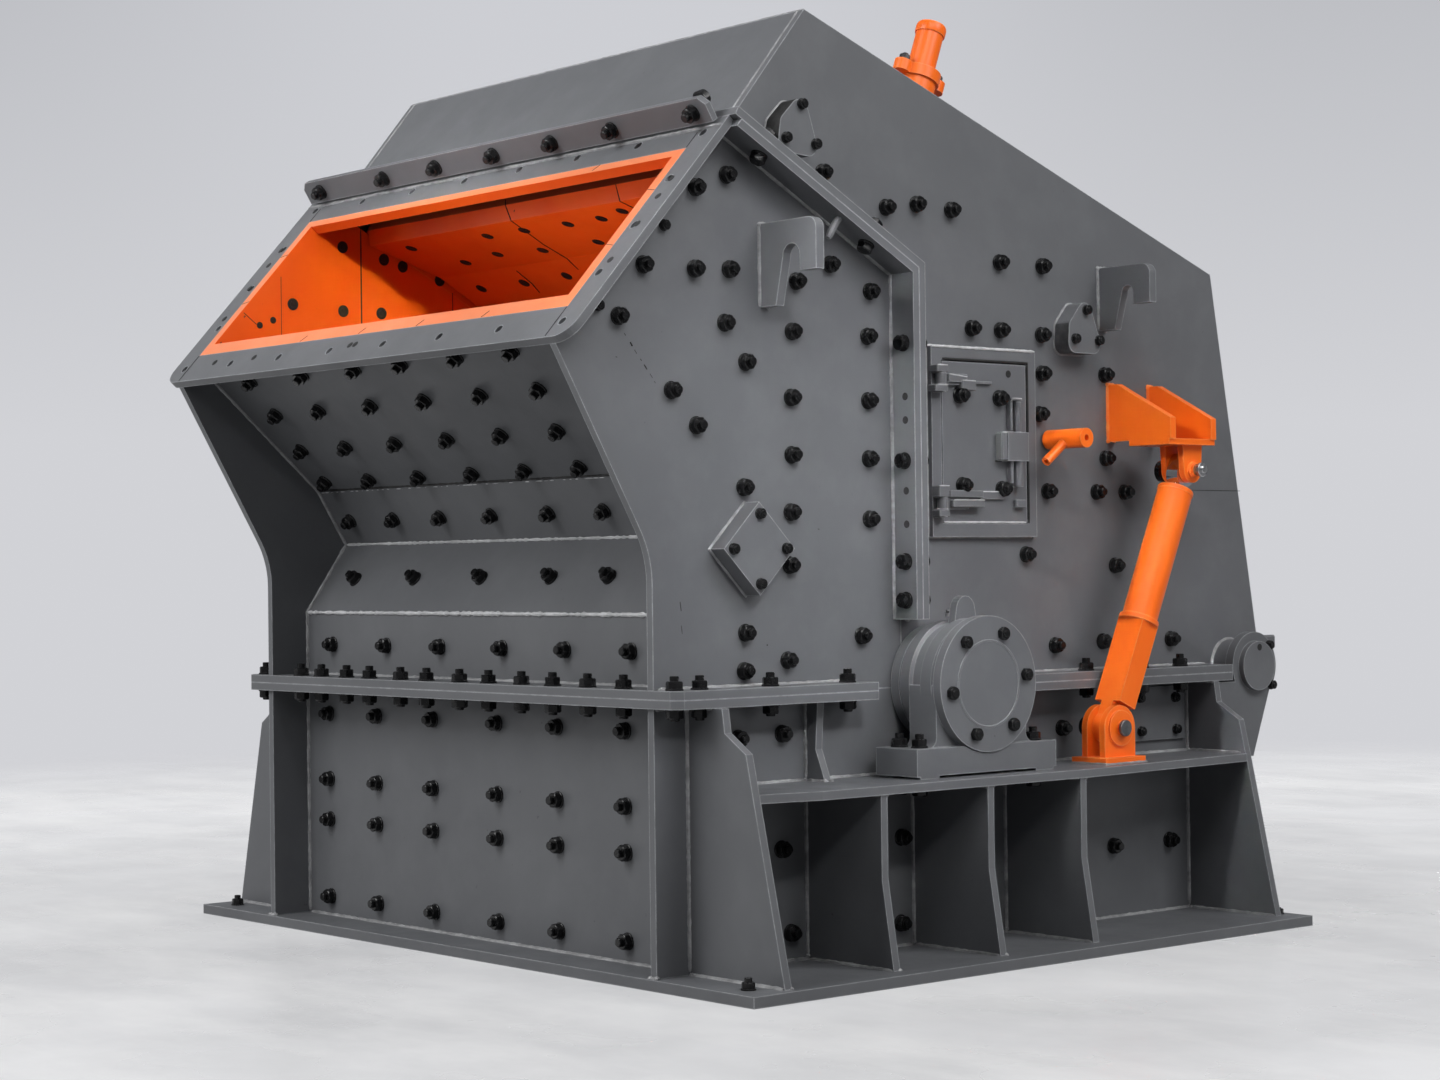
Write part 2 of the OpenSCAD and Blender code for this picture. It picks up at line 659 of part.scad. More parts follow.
// Three-cornered covers over the ends of the impact plates' pivots
cover_t = 50;
cover_corners = [[-5, 41], [-36, 5], [-39, -33], [25, -33]];
cover_corner_r = 26;
module pivot_cover(p, turn) {
    translate([hw, p[0], p[1]]) rotate([turn, 0, 0]) rotate([90, 0, 90])
        linear_extrude(cover_t) polygon(lobed(cover_corners, cover_corner_r));
}
module hood_covers() {
    color(grey) both() {
        pivot_cover(first_pivot + [-4, 1], -4);
        pivot_cover(second_pivot + [-18, 5], 0);
    }
}
module hood_hooks() { color(grey) both() hook(hinge_y - 479, 170, 158); }
// Adjusters of the first impact plate, square to the roof
adjuster_x = hw - 100;
adjuster_y = rotor_y + 59;
adjuster_h = 212;
// Yoke round each adjuster, with an ear on either side
yoke_z = 60;
yoke_t = 28;
yoke_r = 22;
yoke_reach = 58;
module apron_adjusters() {
    roof_at = meet(ridge, -roof_slope, [adjuster_y, 0], 90);
    color(orange) both() translate([adjuster_x, roof_at[0], roof_at[1]])
        rotate([-roof_slope, 0, 0]) translate([0, 0, weld_gap]) {
            cylinder(h = yoke_z + cut, r = 46);
            translate([0, 0, yoke_z]) cylinder(h = yoke_t, r = 52);
            for (y = [-1, 1]) translate([0, yoke_reach * y, yoke_z]) cylinder(h = yoke_t, r = yoke_r);
            translate([-yoke_r + 2, -yoke_reach, yoke_z]) cube([2 * yoke_r - 4, 2 * yoke_reach, yoke_t]);
            cylinder(h = adjuster_h, r = 34);
        }
}
module door_frame() {
    gap = 3;
    rim = 32;
    color(grey) {
        difference() {
            translate([hw, door_y0 - gap - rim, door_z - gap - rim])
                cube([door_t, door_w + 2 * (gap + rim), door_h + 2 * (gap + rim)]);
            translate([hw - cut, door_y0 - gap, door_z - gap])
                cube([door_t + 2 * cut, door_w + 2 * gap, door_h + 2 * gap]);
        }
        for (z = hinge_heights, s = [-1, 1])
            frame_knuckle(z + s * (knuckle_h / 2 + lug_h / 2 + 1));
        for (z = hinge_heights) translate([hinge_x, hinge_line, z - knuckle_h / 2 - lug_h])
            cylinder(h = knuckle_h + 2 * lug_h, r = door_pin_r);
    }
}
// Door hinges: heights, pin line and sizes of the knuckles
hinge_heights = [door_z + 44, door_z1 - 43];
hinge_line = door_y0 - 17;
knuckle_r = door_pin_r + 6;
hinge_x = hw + door_t + knuckle_r + 1;
knuckle_h = 26;
lug_h = 18;
module frame_knuckle(z) {
    translate([hinge_x, hinge_line, z - lug_h / 2]) cylinder(h = lug_h, r = knuckle_r);
    translate([hw + door_t - cut, hinge_line - knuckle_r, z - lug_h / 2])
        cube([knuckle_r + 1 + cut, 2 * knuckle_r, lug_h]);
}
module door_frames() { both() door_frame(); }
module door() {
    face = hw + door_t;
    strap_t = 10;
    color(grey) {
        difference() {
            union() {
                translate([hw, door_y0, door_z]) cube([door_t, door_w, door_h]);
                for (z = hinge_heights) {
                    translate([hinge_x, hinge_line, z - knuckle_h / 2])
                        cylinder(h = knuckle_h, r = knuckle_r);
                    translate([face + 2, hinge_line, z - knuckle_h / 2])
                        cube([strap_t, 90, knuckle_h]);
                    translate([face - cut, door_y0 + 6, z - knuckle_h / 2])
                        cube([strap_t + cut, 70, knuckle_h]);
                }
            }
            for (z = hinge_heights) translate([hinge_x, hinge_line, z - knuckle_h / 2 - cut])
                cylinder(h = knuckle_h + 2 * cut, r = door_pin_r + run_gap);
        }
        // Latch: block, bolt above it and tube below it
        translate([face - cut, door_y1 - 90, door_z + 148]) cube([26 + cut, 72, 70]);
        translate([face + 12, door_y1 - 42, door_z + 86]) cylinder(h = 62 + cut, r = 12);
        translate([face + 12, door_y1 - 42, door_z + 218 - cut]) cylinder(h = 74 + cut, r = 9);
    }
}
module door_right() { door(); }
module door_left() { mirror([1, 0, 0]) door(); }
handle_r = 24;
handle_bar = 98;
handle_bar_r = 12;
handle_droop = 36;
module lock_handle() {
    color(orange) translate([0, handle_y, handle_z]) {
        rotate([0, 90, 0]) {
            translate([0, 0, iw]) cylinder(h = wall_t + 10, r = handle_stub_r);
            difference() {
                translate([0, 0, hw + 5]) cylinder(h = 125, r = handle_r);
                translate([0, 0, hw + 100]) cylinder(h = 30 + cut, r = handle_r / 3);
            }
        }
        translate([hw + 68, 0, 0]) rotate([90 + handle_droop, 0, 0]) difference() {
            cylinder(h = handle_bar, r = handle_bar_r);
            translate([0, 0, handle_bar - 30]) cylinder(h = 30 + cut, r = handle_bar_r / 2);
        }
    }
}
module lock_handle_right() { lock_handle(); }
module lock_handle_left() { mirror([1, 0, 0]) lock_handle(); }

/* Hood cylinders */
collar_out = 5;
ram_x = flange_x + ram_clear + barrel_r + collar_out;
lower_pin = [hinge_y - ram_ahead, shelf_z + ram_up];
upper_pin = [hinge_y - eye_ahead, hinge_z + eye_up];
ram_l = norm(upper_pin - lower_pin);
ram_tilt = 90 - dir(lower_pin, upper_pin);
eye_t = 36;
ear_t = 17;
ear_gap = 2;
ear_in = eye_t / 2 + ear_gap;
module along_ram() { translate([ram_x, lower_pin[0], lower_pin[1]]) rotate([-ram_tilt, 0, 0]) children(); }
module ears(p, r, w, z) {
    for (x = [ram_x - ear_in - ear_t, ram_x + ear_in]) {
        bar_x(x, x + ear_t, r, p);
        slab(x, x + ear_t) polygon([[p[0] - r, p[1]], [p[0] + r, p[1]],
            [p[0] + w / 2, z], [p[0] - w / 2, z]]);
    }
    bar_x(ram_x - ear_in - ear_t - 14, ram_x + ear_in + ear_t + 14, ram_pin_r, p);
    bar_x(ram_x + ear_in + ear_t - cut, ram_x + ear_in + ear_t + 6, r - 12, p);
}
module ram_foot() {
    plate_t = 16;
    translate([ram_x - 55, lower_pin[0] - 72, shelf_z]) cube([110, 144, plate_t]);
    ears(lower_pin, 55, 110, shelf_z + plate_t - cut);
}
module ram_feet() { color(orange) both() ram_foot(); }
sleeve_s = 60;
collar_s = 275;
barrel_top = ram_l - 52;
bore_s = 120;
module ram_barrel() {
    color(orange) along_ram() difference() {
        union() {
            translate([-eye_t / 2, 0, 0]) rotate([0, 90, 0]) cylinder(h = eye_t, r = 38);
            translate([-eye_t / 2, -30, 0]) cube([eye_t, 60, sleeve_s + cut]);
            translate([-40, -30, sleeve_s]) cube([80, 60, collar_s - sleeve_s + cut]);
            translate([0, 0, collar_s]) cylinder(h = 14, r = barrel_r + collar_out);
            translate([0, 0, collar_s]) cylinder(h = barrel_top - collar_s, r = barrel_r);
        }
        translate([-eye_t, 0, 0]) rotate([0, 90, 0]) cylinder(h = 2 * eye_t, r = ram_pin_r + run_gap);
        translate([0, 0, bore_s]) cylinder(h = ram_l, r = rod_r + run_gap);
    }
}
module ram_barrel_right() { ram_barrel(); }
module ram_barrel_left() { mirror([1, 0, 0]) ram_barrel(); }
// The rod's eye is a slot, because the hood's arc and the stroke are not in proportion
slot_r = ram_pin_r + 3;
slot_half = 12;
eye_wall = 13;
eye_r = slot_r + eye_wall;
// The rod's end is turned down so that it stays clear of the bracket's ears
neck_r = 15;
neck_l = 62;
eye_foot = ram_l - slot_half - slot_r - eye_wall / 2;
module slot_shape(x, r) {
    for (z = [-slot_half, slot_half]) translate([-x, 0, z]) rotate([0, 90, 0]) cylinder(h = 2 * x, r = r);
    translate([-x, -r, -slot_half]) cube([2 * x, 2 * r, 2 * slot_half]);
}
module ram_rod() {
    color(steel) along_ram() difference() {
        union() {
            translate([0, 0, bore_s + 20]) cylinder(h = ram_l - neck_l - bore_s - 20, r = rod_r);
            translate([0, 0, bore_s + 20]) cylinder(h = eye_foot - bore_s - 20, r = neck_r);
            translate([0, 0, ram_l]) slot_shape(eye_t / 2, eye_r);
        }
        translate([0, 0, ram_l]) slot_shape(eye_t, slot_r);
    }
}
module ram_rod_right() { ram_rod(); }
module ram_rod_left() { mirror([1, 0, 0]) ram_rod(); }
module ram_bracket() {
    floor_z = upper_pin[1] + 62;
    gusset_t = 20;
    span = 174;
    y0 = upper_pin[0] - 108;
    reach = ram_x + 59;
    floor_t = 14;
    top_z = floor_z + 158;
    for (y = [y0, y0 + span - gusset_t]) wall_y(y, y + gusset_t)
        polygon([[hw, floor_z + floor_t], [hw, top_z], [hw + 32, top_z], [reach, top_z - 92],
            [reach, floor_z + floor_t]]);
    translate([hw + 70, y0, floor_z]) cube([reach - 5 - hw - 70, span, floor_t + cut]);
    ears(upper_pin, 32, 74, floor_z + cut);
}
module ram_brackets() { color(orange) both() ram_bracket(); }

base_plate();
end_walls();
side_walls();
side_ribs();
side_shelves();
lower_flange();
hinge_brackets();
housing_sides();
chute_wall();
housing_foot_flange();
housing_split_flange();
feed_flange();
top_beam();
side_liners();
feed_liners();
housing_covers();
housing_hooks();
bearings();
bearing_caps();
ram_feet();
hood_sides();
hood_front_plate();
hood_roof();
hood_rear_wall();
hood_foot_flange();
hood_split_flange();
hinge_tubes();
first_apron();
second_apron();
hood_covers();
hood_hooks();
apron_adjusters();
ram_brackets();
door_frames();
door_right();
door_left();
lock_handle_right();
lock_handle_left();
ram_barrel_right();
ram_barrel_left();
ram_rod_right();
ram_rod_left();
rotor_shaft();
rotor_discs();
blow_bars();
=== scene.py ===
"""Looks of the impact crusher: fasteners, weld beads, small fittings, paint, and the studio round it."""

import json
import math
import random

import bpy
import numpy as np
from mathutils import Matrix, Vector
from mathutils.bvhtree import BVHTree

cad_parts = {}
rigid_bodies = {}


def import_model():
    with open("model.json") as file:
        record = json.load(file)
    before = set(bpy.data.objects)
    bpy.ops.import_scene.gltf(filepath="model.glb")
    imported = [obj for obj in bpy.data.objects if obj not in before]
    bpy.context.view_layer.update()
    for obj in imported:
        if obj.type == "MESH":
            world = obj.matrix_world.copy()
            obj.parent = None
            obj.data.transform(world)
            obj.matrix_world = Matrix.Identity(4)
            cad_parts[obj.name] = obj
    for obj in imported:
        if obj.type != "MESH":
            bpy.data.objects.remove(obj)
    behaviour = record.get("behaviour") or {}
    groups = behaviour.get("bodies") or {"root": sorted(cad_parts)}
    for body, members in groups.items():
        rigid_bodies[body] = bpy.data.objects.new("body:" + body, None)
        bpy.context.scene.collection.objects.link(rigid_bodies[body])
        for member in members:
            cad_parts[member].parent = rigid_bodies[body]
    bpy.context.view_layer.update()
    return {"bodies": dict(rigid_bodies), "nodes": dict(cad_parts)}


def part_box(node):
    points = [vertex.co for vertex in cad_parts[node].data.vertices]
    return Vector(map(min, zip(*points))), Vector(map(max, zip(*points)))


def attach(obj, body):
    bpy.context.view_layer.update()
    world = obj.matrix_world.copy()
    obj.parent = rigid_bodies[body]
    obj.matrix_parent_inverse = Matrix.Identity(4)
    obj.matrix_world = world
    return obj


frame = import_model()
nodes = frame["nodes"]
rng = random.Random(11)
MM = 0.001
BOTH = (1, -1)
ONCE = (1,)

# Main sizes of the frame in millimetres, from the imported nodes
WALL = 1000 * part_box("side_walls")[1].x
INNER = 1000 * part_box("end_walls")[1].x
FRONT = 1000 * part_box("end_walls")[0].y
BACK = 1000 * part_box("end_walls")[1].y
PLATE = 1000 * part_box("side_walls")[0].y
BASE = 1000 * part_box("base_plate")[1].z
JOINT = 1000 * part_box("lower_flange")[1].z
SHELF = 1000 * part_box("side_shelves")[1].z
# Thickness of the flanges and the shelf, and of the ribs
FLANGE = 20
RIB_T = 20
SHELF_LOW = SHELF - FLANGE
JOINT_LOW = JOINT - FLANGE
JOINT_HIGH = JOINT + FLANGE
# Places and slopes in the frame: points are (y, z) pairs
SHAFT = (-74, 640)
HINGE = (1024, 645)
FEED_SLOPE = math.radians(47.8)
LIP = (-1188, 1407)
SPLIT = [(-725, 1911), (-171, 1610), (-171, 790)]
CHUTE = [(-811, 631), (-811, 812), (-689, 990), (-775, 1133), (-1123, 1448)]
ROOF_SLOPE = math.radians(-20.1)
ROOF_FRONT = (-453, 2190)
ROOF_BACK = (971, 1669)
REAR_LEAN = math.radians(10.2)
REAR_Y = 1158
FEED_N = (0, -math.sin(FEED_SLOPE), math.cos(FEED_SLOPE))
DIAMOND = (-651, 957)
COVERS = (((-513, 1904), math.radians(-4)), ((433, 1495), 0.0))
RAM_FOOT = (386, 516)
RAM_HEAD = (671, 1146)
# Distances from the middle plane
COVER_FACE = WALL + 50
LEAF = WALL + 16
SPLIT_BOLT = 842
RAM_X = 946
CAP_FACE = 990
FEED_INNER = 750


# ---------------------------------------------------------------- mesh code
class Shape:
    """Vertices in millimetres and the faces between them."""

    def __init__(self):
        self.verts = []
        self.faces = []
        self.count = 0

    def add(self, verts, faces, matrix=None):
        verts = np.asarray(verts, float).reshape(-1, 3)
        if matrix is not None:
            m = np.array(matrix)
            verts = verts @ m[:3, :3].T + m[:3, 3]
        self.verts.append(verts)
        self.faces += [tuple(self.count + i for i in face) for face in faces]
        self.count += len(verts)

    def put(self, other, matrix=None):
        self.add(np.concatenate(other.verts), other.faces, matrix)

    def mirrored(self):
        """The same shape on the other side of the middle plane, faces turned outward again."""
        out = Shape()
        out.add(np.concatenate(self.verts) * (-1, 1, 1), [face[::-1] for face in self.faces])
        return out


def rings(shape, loops, caps=True, matrix=None):
    """Skins a row of closed loops of equal length, with a cap on either end."""
    n = len(loops[0])
    faces = []
    for i in range(len(loops) - 1):
        for k in range(n):
            a = i * n + k
            b = i * n + (k + 1) % n
            faces.append((a, b, b + n, a + n))
    if caps:
        faces.append(tuple(range(n))[::-1])
        faces.append(tuple(range((len(loops) - 1) * n, len(loops) * n)))
    shape.add([p for loop in loops for p in loop], faces, matrix)


def lathe(shape, profile, n=20, matrix=None):
    """Turned shape about Z from (radius, height) pairs, with flat ends."""
    loops = [[(r * math.cos(2 * math.pi * k / n), r * math.sin(2 * math.pi * k / n), z)
              for k in range(n)] for r, z in profile]
    rings(shape, loops, matrix=matrix)


def prism(shape, outline, z0, z1, matrix, edge=1.5):
    """Plate with the given outline, turned to the left, whose upper edge has a small bevel."""
    centre = np.mean(np.array(outline), axis=0)
    inner = []
    for p in outline:
        d = np.array(p) - centre
        length = np.linalg.norm(d)
        inner.append(centre + d * (length - edge * 1.3) / length)
    loops = [[(*p, z0) for p in outline], [(*p, z1 - edge) for p in outline], [(*p, z1) for p in inner]]
    rings(shape, loops, matrix=matrix)


def block(shape, low, high, edge=2.0):
    """Box with bevelled edges between two corners."""
    lo = np.array(low, float)
    hi = np.array(high, float)
    e = min(edge, 0.3 * (hi - lo).min())
    mid = (lo + hi) / 2
    verts = []
    faces = []
    index = {}
    # Three points at each corner, one on each of the faces that meet there
    for corner in range(8):
        s = [(corner >> a) & 1 for a in range(3)]
        for axis in range(3):
            index[tuple(s) + (axis,)] = len(verts)
            verts.append([hi[a] - (0 if a == axis else e) if s[a] else lo[a] + (0 if a == axis else e)
                          for a in range(3)])

    def face(keys):
        ids = [index[k] for k in keys]
        pts = np.array([verts[i] for i in ids])
        normal = np.cross(pts[1] - pts[0], pts[2] - pts[0])
        faces.append(tuple(ids if normal @ (pts.mean(0) - mid) > 0 else ids[::-1]))

    for a in range(3):
        b = (a + 1) % 3
        c = (a + 2) % 3
        for s in (0, 1):
            def key(sb, sc, axis):
                k = [0, 0, 0]
                k[a], k[b], k[c] = s, sb, sc
                return tuple(k) + (axis,)
            face([key(0, 0, a), key(1, 0, a), key(1, 1, a), key(0, 1, a)])
            for sb in (0, 1):
                face([key(sb, 0, a), key(sb, 1, a), key(sb, 1, b), key(sb, 0, b)])
    for corner in range(8):
        s = tuple((corner >> a) & 1 for a in range(3))
        face([s + (0,), s + (1,), s + (2,)])
    shape.add(verts, faces)


def tube(shape, points, radius, n=8, step=12, ripple=0.0, closed=False):
    """Round bead along a line of points, with a ring every few millimetres and a slight ripple."""
    pts = [Vector(p) for p in points]
    if closed:
        pts.append(pts[0].copy())
    path = []
    for a, b in zip(pts, pts[1:]):
        k = max(1, round((b - a).length / step))
        path += [a.lerp(b, i / k) for i in range(k)]
    path.append(pts[-1])
    loops = []
    up = None
    for i, p in enumerate(path):
        d = (path[min(i + 1, len(path) - 1)] - path[max(i - 1, 0)]).normalized()
        if up is None:
            up = d.orthogonal().normalized()
        side = d.cross(up)
        side = side.normalized() if side.length > 1e-3 else d.orthogonal().normalized()
        up = side.cross(d).normalized()
        r = radius * (1 + ripple * (rng.random() - 0.5) + ripple * 0.5 * (i % 2))
        if not closed and i in (0, len(path) - 1):
            r *= 0.7
        turns = [2 * math.pi * k / n for k in range(n)]
        loops.append([tuple(p + r * (math.cos(a) * up + math.sin(a) * side)) for a in turns])
    rings(shape, loops, not closed)


def turned(point, normal, spin=0.0):
    """Matrix that puts a template's foot at a point, with its axis along the normal."""
    z = Vector(normal).normalized()
    x = z.orthogonal().normalized()
    m = Matrix((x, z.cross(x), z)).transposed().to_4x4()
    return Matrix.Translation(Vector(point)) @ m @ Matrix.Rotation(spin, 4, "Z")


def new_object(name, data):
    obj = bpy.data.objects.new(name, data)
    bpy.context.scene.collection.objects.link(obj)
    return obj


def to_object(shape, name, body, material):
    """Makes a mesh object of a shape and ties it to a body of the frame."""
    mesh = bpy.data.meshes.new(name)
    verts = np.concatenate(shape.verts) * MM
    mesh.from_pydata([tuple(v) for v in verts], [], shape.faces)
    mesh.materials.append(material)
    mesh.polygons.foreach_set("use_smooth", [True] * len(mesh.polygons))
    mesh.set_sharp_from_angle(angle=math.radians(32))
    mesh.update()
    obj = new_object(name, mesh)
    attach(obj, body)


# One search tree over all the frame's nodes, so that fittings sit exactly on the real faces
tree_v = []
tree_f = []
for part in nodes.values():
    base = len(tree_v)
    tree_v += [v.co.copy() for v in part.data.vertices]
    tree_f += [tuple(base + i for i in p.vertices) for p in part.data.polygons]
tree = BVHTree.FromPolygons(tree_v, tree_f)


def on_face(point, normal, reach=45):
    """The place on the frame under a rough point, looking against the normal."""
    n = Vector(normal).normalized()
    start = (Vector(point) + n * reach) * MM
    hit, face, _, _ = tree.ray_cast(start, -n, 2 * reach * MM)
    return (hit / MM, face) if hit is not None else (Vector(point), n)


# ---------------------------------------------------------------- materials
class Nodes:
    """Short way to write a node tree."""

    def __init__(self, tree):
        self.tree = tree
        tree.nodes.clear()

    def node(self, kind, inputs=None, **settings):
        made = self.tree.nodes.new("ShaderNode" + kind)
        for key, value in settings.items():
            setattr(made, key, value)
        for key, value in (inputs or {}).items():
            if isinstance(value, bpy.types.NodeSocket):
                self.tree.links.new(value, made.inputs[key])
            else:
                made.inputs[key].default_value = value
        return made

    def math(self, op, a, b=0.0):
        return self.node("Math", {0: a, 1: b}, operation=op).outputs[0]

    def dot(self, a, b):
        return self.node("VectorMath", {0: a, 1: b}, operation="DOT_PRODUCT").outputs["Value"]

    def mix(self, factor, a, b):
        return self.node("Mix", {0: factor, 6: a, 7: b}, data_type="RGBA").outputs[2]

    def mix_shader(self, factor, a, b):
        return self.node("MixShader", {0: factor, 1: a, 2: b}).outputs[0]

    def ramp(self, value, lo, hi, to_lo=0.0, to_hi=1.0, curve="LINEAR"):
        inputs = {0: value, 1: lo, 2: hi, 3: to_lo, 4: to_hi}
        return self.node("MapRange", inputs, interpolation_type=curve).outputs[0]


class Paint(Nodes):
    """Node tree of a material, with noise, worn edges and bumps."""

    def __init__(self, name):
        self.mat = bpy.data.materials.new(name)
        self.mat.use_nodes = True
        super().__init__(self.mat.node_tree)
        self.coords = self.node("TexCoord").outputs["Object"]

    def noise(self, scale, detail=3.0, rough=0.55, stretch=None, turn=None):
        at = self.coords
        if stretch or turn:
            placed = {"Vector": at, "Scale": stretch or (1, 1, 1), "Rotation": turn or (0, 0, 0)}
            at = self.node("Mapping", placed).outputs[0]
        settings = {"Vector": at, "Scale": scale, "Detail": detail, "Roughness": rough}
        return self.node("TexNoise", settings).outputs[0]

    def edge(self, radius, lo, hi):
        """1 on edges that are sharper than the bevel radius, 0 on flat faces."""
        soft = self.node("Bevel", {"Radius": radius}, samples=6).outputs[0]
        true = self.node("NewGeometry").outputs["Normal"]
        return self.ramp(self.math("SUBTRACT", 1.0, self.dot(soft, true)), lo, hi)

    def bump(self, height, strength, distance, normal=None):
        inputs = {"Height": height, "Strength": strength, "Distance": distance}
        if normal is not None:
            inputs["Normal"] = normal
        return self.node("Bump", inputs).outputs[0]

    def done(self, **inputs):
        shader = self.node("BsdfPrincipled", {k.replace("_", " "): v for k, v in inputs.items()})
        out = self.node("OutputMaterial")
        self.tree.links.new(shader.outputs[0], out.inputs[0])
        return self.mat


def rgb(r, g=None, b=None):
    return (r, r if g is None else g, r if b is None else b, 1.0)


def painted(name, base, pale, dark, wear_and_highlight_tone, gloss=(0.36, 0.52), wear_and_highlight=0.75, spots=0.5, rim=None):
    """Sprayed paint: slow drifts of tone, faint rubbing marks, light edges that are partly wear and partly a
    painted highlight, and fine orange peel.
    """
    p = Paint(name)
    drift = p.ramp(p.noise(1.7, 4.0), 0.35, 0.65)
    colour = p.mix(drift, dark, base)
    patch = p.ramp(p.noise(9.0, 5.0, 0.6), 0.45, 0.8)
    colour = p.mix(p.math("MULTIPLY", patch, 0.5), colour, pale)
    streak = p.ramp(p.noise(5.0, 6.0, 0.7, (1.0, 9.0, 1.0), (0.35, 0.2, 0.5)), 0.63, 0.72)
    rubbed = p.math("MULTIPLY", streak, p.ramp(p.noise(2.3, 2.0), 0.52, 0.7))
    colour = p.mix(p.math("MULTIPLY", rubbed, 0.35), colour, pale)
    chips = p.ramp(p.noise(55.0, 3.0, 0.5), 0.735, 0.76)
    chips = p.math("MULTIPLY", chips, p.ramp(p.noise(3.1, 2.0), 0.5, 0.62))
    colour = p.mix(p.math("MULTIPLY", chips, spots), colour, rgb(0.035))
    # Light edges: partly wear, partly a painted highlight where the light catches them
    edge = p.edge(0.0055, 0.02, 0.27)
    broken = p.ramp(p.noise(26.0, 4.0, 0.65), 0.30, 0.62)
    edge = p.math("MULTIPLY", edge, p.ramp(broken, 0.0, 1.0, 0.35, 1.0))
    colour = p.mix(p.math("MULTIPLY", edge, wear_and_highlight), colour, wear_and_highlight_tone)
    if rim:
        # Faces that look out of the feed opening are paler than those inside, in clouds
        facing = p.dot(p.node("NewGeometry").outputs["True Normal"], FEED_N)
        cloudy = p.ramp(p.noise(3.5, 5.0, 0.6), 0.3, 0.7, 0.6, 1.0)
        colour = p.mix(p.math("MULTIPLY", p.ramp(facing, 0.97, 0.99), cloudy), colour, rim)
    rough = p.ramp(p.noise(6.0, 4.0), 0.3, 0.7, gloss[0], gloss[1])
    rough = p.math("ADD", rough, p.math("MULTIPLY", rubbed, 0.12))
    peel = p.bump(p.noise(130.0, 2.0), 0.10, 0.0012)
    normal = p.bump(p.noise(420.0, 2.0), 0.06, 0.0006, peel)
    return p.done(Base_Color=colour, Roughness=rough, Normal=normal, Specular_IOR_Level=0.35)


def metal(name, base, pale, rough, metallic, edge_gain=0.8, fine=300.0, bumpy=0.15, patchy=0.45, shine=0.5):
    """Bare or blackened metal: patches of a paler tone, which also shows on the edges, partly as wear and
    partly as a painted highlight.
    """
    p = Paint(name)
    tone = p.ramp(p.noise(40.0, 4.0), 0.35, 0.7)
    colour = p.mix(p.math("MULTIPLY", tone, patchy), base, pale)
    # Paler edges: partly wear, partly a painted highlight
    edge = p.edge(0.0016, 0.03, 0.35)
    colour = p.mix(p.math("MULTIPLY", edge, edge_gain), colour, pale)
    gloss = p.ramp(p.noise(70.0, 3.0), 0.3, 0.7, rough[0], rough[1])
    normal = p.bump(p.noise(fine, 3.0), bumpy, 0.0006)
    return p.done(Base_Color=colour, Roughness=gloss, Metallic=metallic, Normal=normal,
                  Specular_IOR_Level=shine)


GREY = painted("grey_paint", rgb(0.130, 0.1345, 0.1435), rgb(0.158, 0.163, 0.173), rgb(0.117, 0.121, 0.130),
               rgb(0.50, 0.51, 0.53), wear_and_highlight=0.9)
ORANGE = painted("orange_paint", rgb(0.94, 0.160, 0.010), rgb(0.96, 0.200, 0.020), rgb(0.90, 0.138, 0.008),
                 rgb(0.98, 0.46, 0.18), gloss=(0.26, 0.40), wear_and_highlight=0.6, spots=0.35)
LINER = painted("orange_liner", rgb(0.93, 0.128, 0.007), rgb(0.95, 0.165, 0.012), rgb(0.86, 0.098, 0.005),
                rgb(0.95, 0.34, 0.10), gloss=(0.42, 0.60), wear_and_highlight=0.4, spots=0.9, rim=rgb(0.72, 0.235, 0.105))
BLACK = metal("black_steel", rgb(0.0028, 0.0028, 0.0032), rgb(0.13, 0.13, 0.135), (0.20, 0.30), 0.0, 0.5,
              patchy=0.02, shine=0.30)
# Dark joints and holes, and also dark strips and lines of painted shade
DARK_JOINT_AND_SHADE = metal("dark_joint_and_shade", rgb(0.006), rgb(0.02), (0.6, 0.8), 0.0, 0.1, patchy=0.2)
IRON = metal("wear_iron", rgb(0.09, 0.088, 0.085), rgb(0.22, 0.21, 0.20), (0.45, 0.7), 0.6, 0.7, 60.0, 0.4)
STEEL = metal("machined_steel", rgb(0.42, 0.42, 0.43), rgb(0.62, 0.62, 0.63), (0.22, 0.36), 1.0, 0.5)
CHROME = metal("rod_chrome", rgb(0.70, 0.71, 0.73), rgb(0.80, 0.81, 0.83), (0.08, 0.16), 1.0, 0.4)
BRONZE = metal("pin_bronze", rgb(0.20, 0.095, 0.05), rgb(0.38, 0.22, 0.14), (0.35, 0.5), 0.5, 0.6)
PIN_STEEL_AND_SHADE = metal("pin_steel_and_shade", rgb(0.075, 0.077, 0.082), rgb(0.34, 0.345, 0.355), (0.3, 0.45), 0.6, 0.7,
            patchy=0.25)


def bead(name, base, pale, rough=(0.32, 0.5)):
    """Bead material in two tones, with a rippled surface, for weld metal and for pale lines of painted
    highlight.
    """
    p = Paint(name)
    tone = p.ramp(p.noise(28.0, 4.0, 0.65), 0.38, 0.66)
    colour = p.mix(tone, base, pale)
    gloss = p.ramp(p.noise(50.0, 3.0), 0.3, 0.7, rough[0], rough[1])
    normal = p.bump(p.noise(210.0, 3.0), 0.5, 0.0015)
    return p.done(Base_Color=colour, Roughness=gloss, Normal=normal)


WELD = bead("weld_grey", rgb(0.195, 0.197, 0.203), rgb(0.36, 0.364, 0.373))
# Painted highlight: pale lines along lit edges, folds and the top bead of the door frames
PAINTED_HIGHLIGHT = bead("painted_highlight", rgb(0.44, 0.445, 0.455), rgb(0.66, 0.665, 0.68), (0.30, 0.42))
WELD_ORANGE = bead("weld_orange", rgb(0.86, 0.15, 0.014), rgb(0.94, 0.28, 0.06))

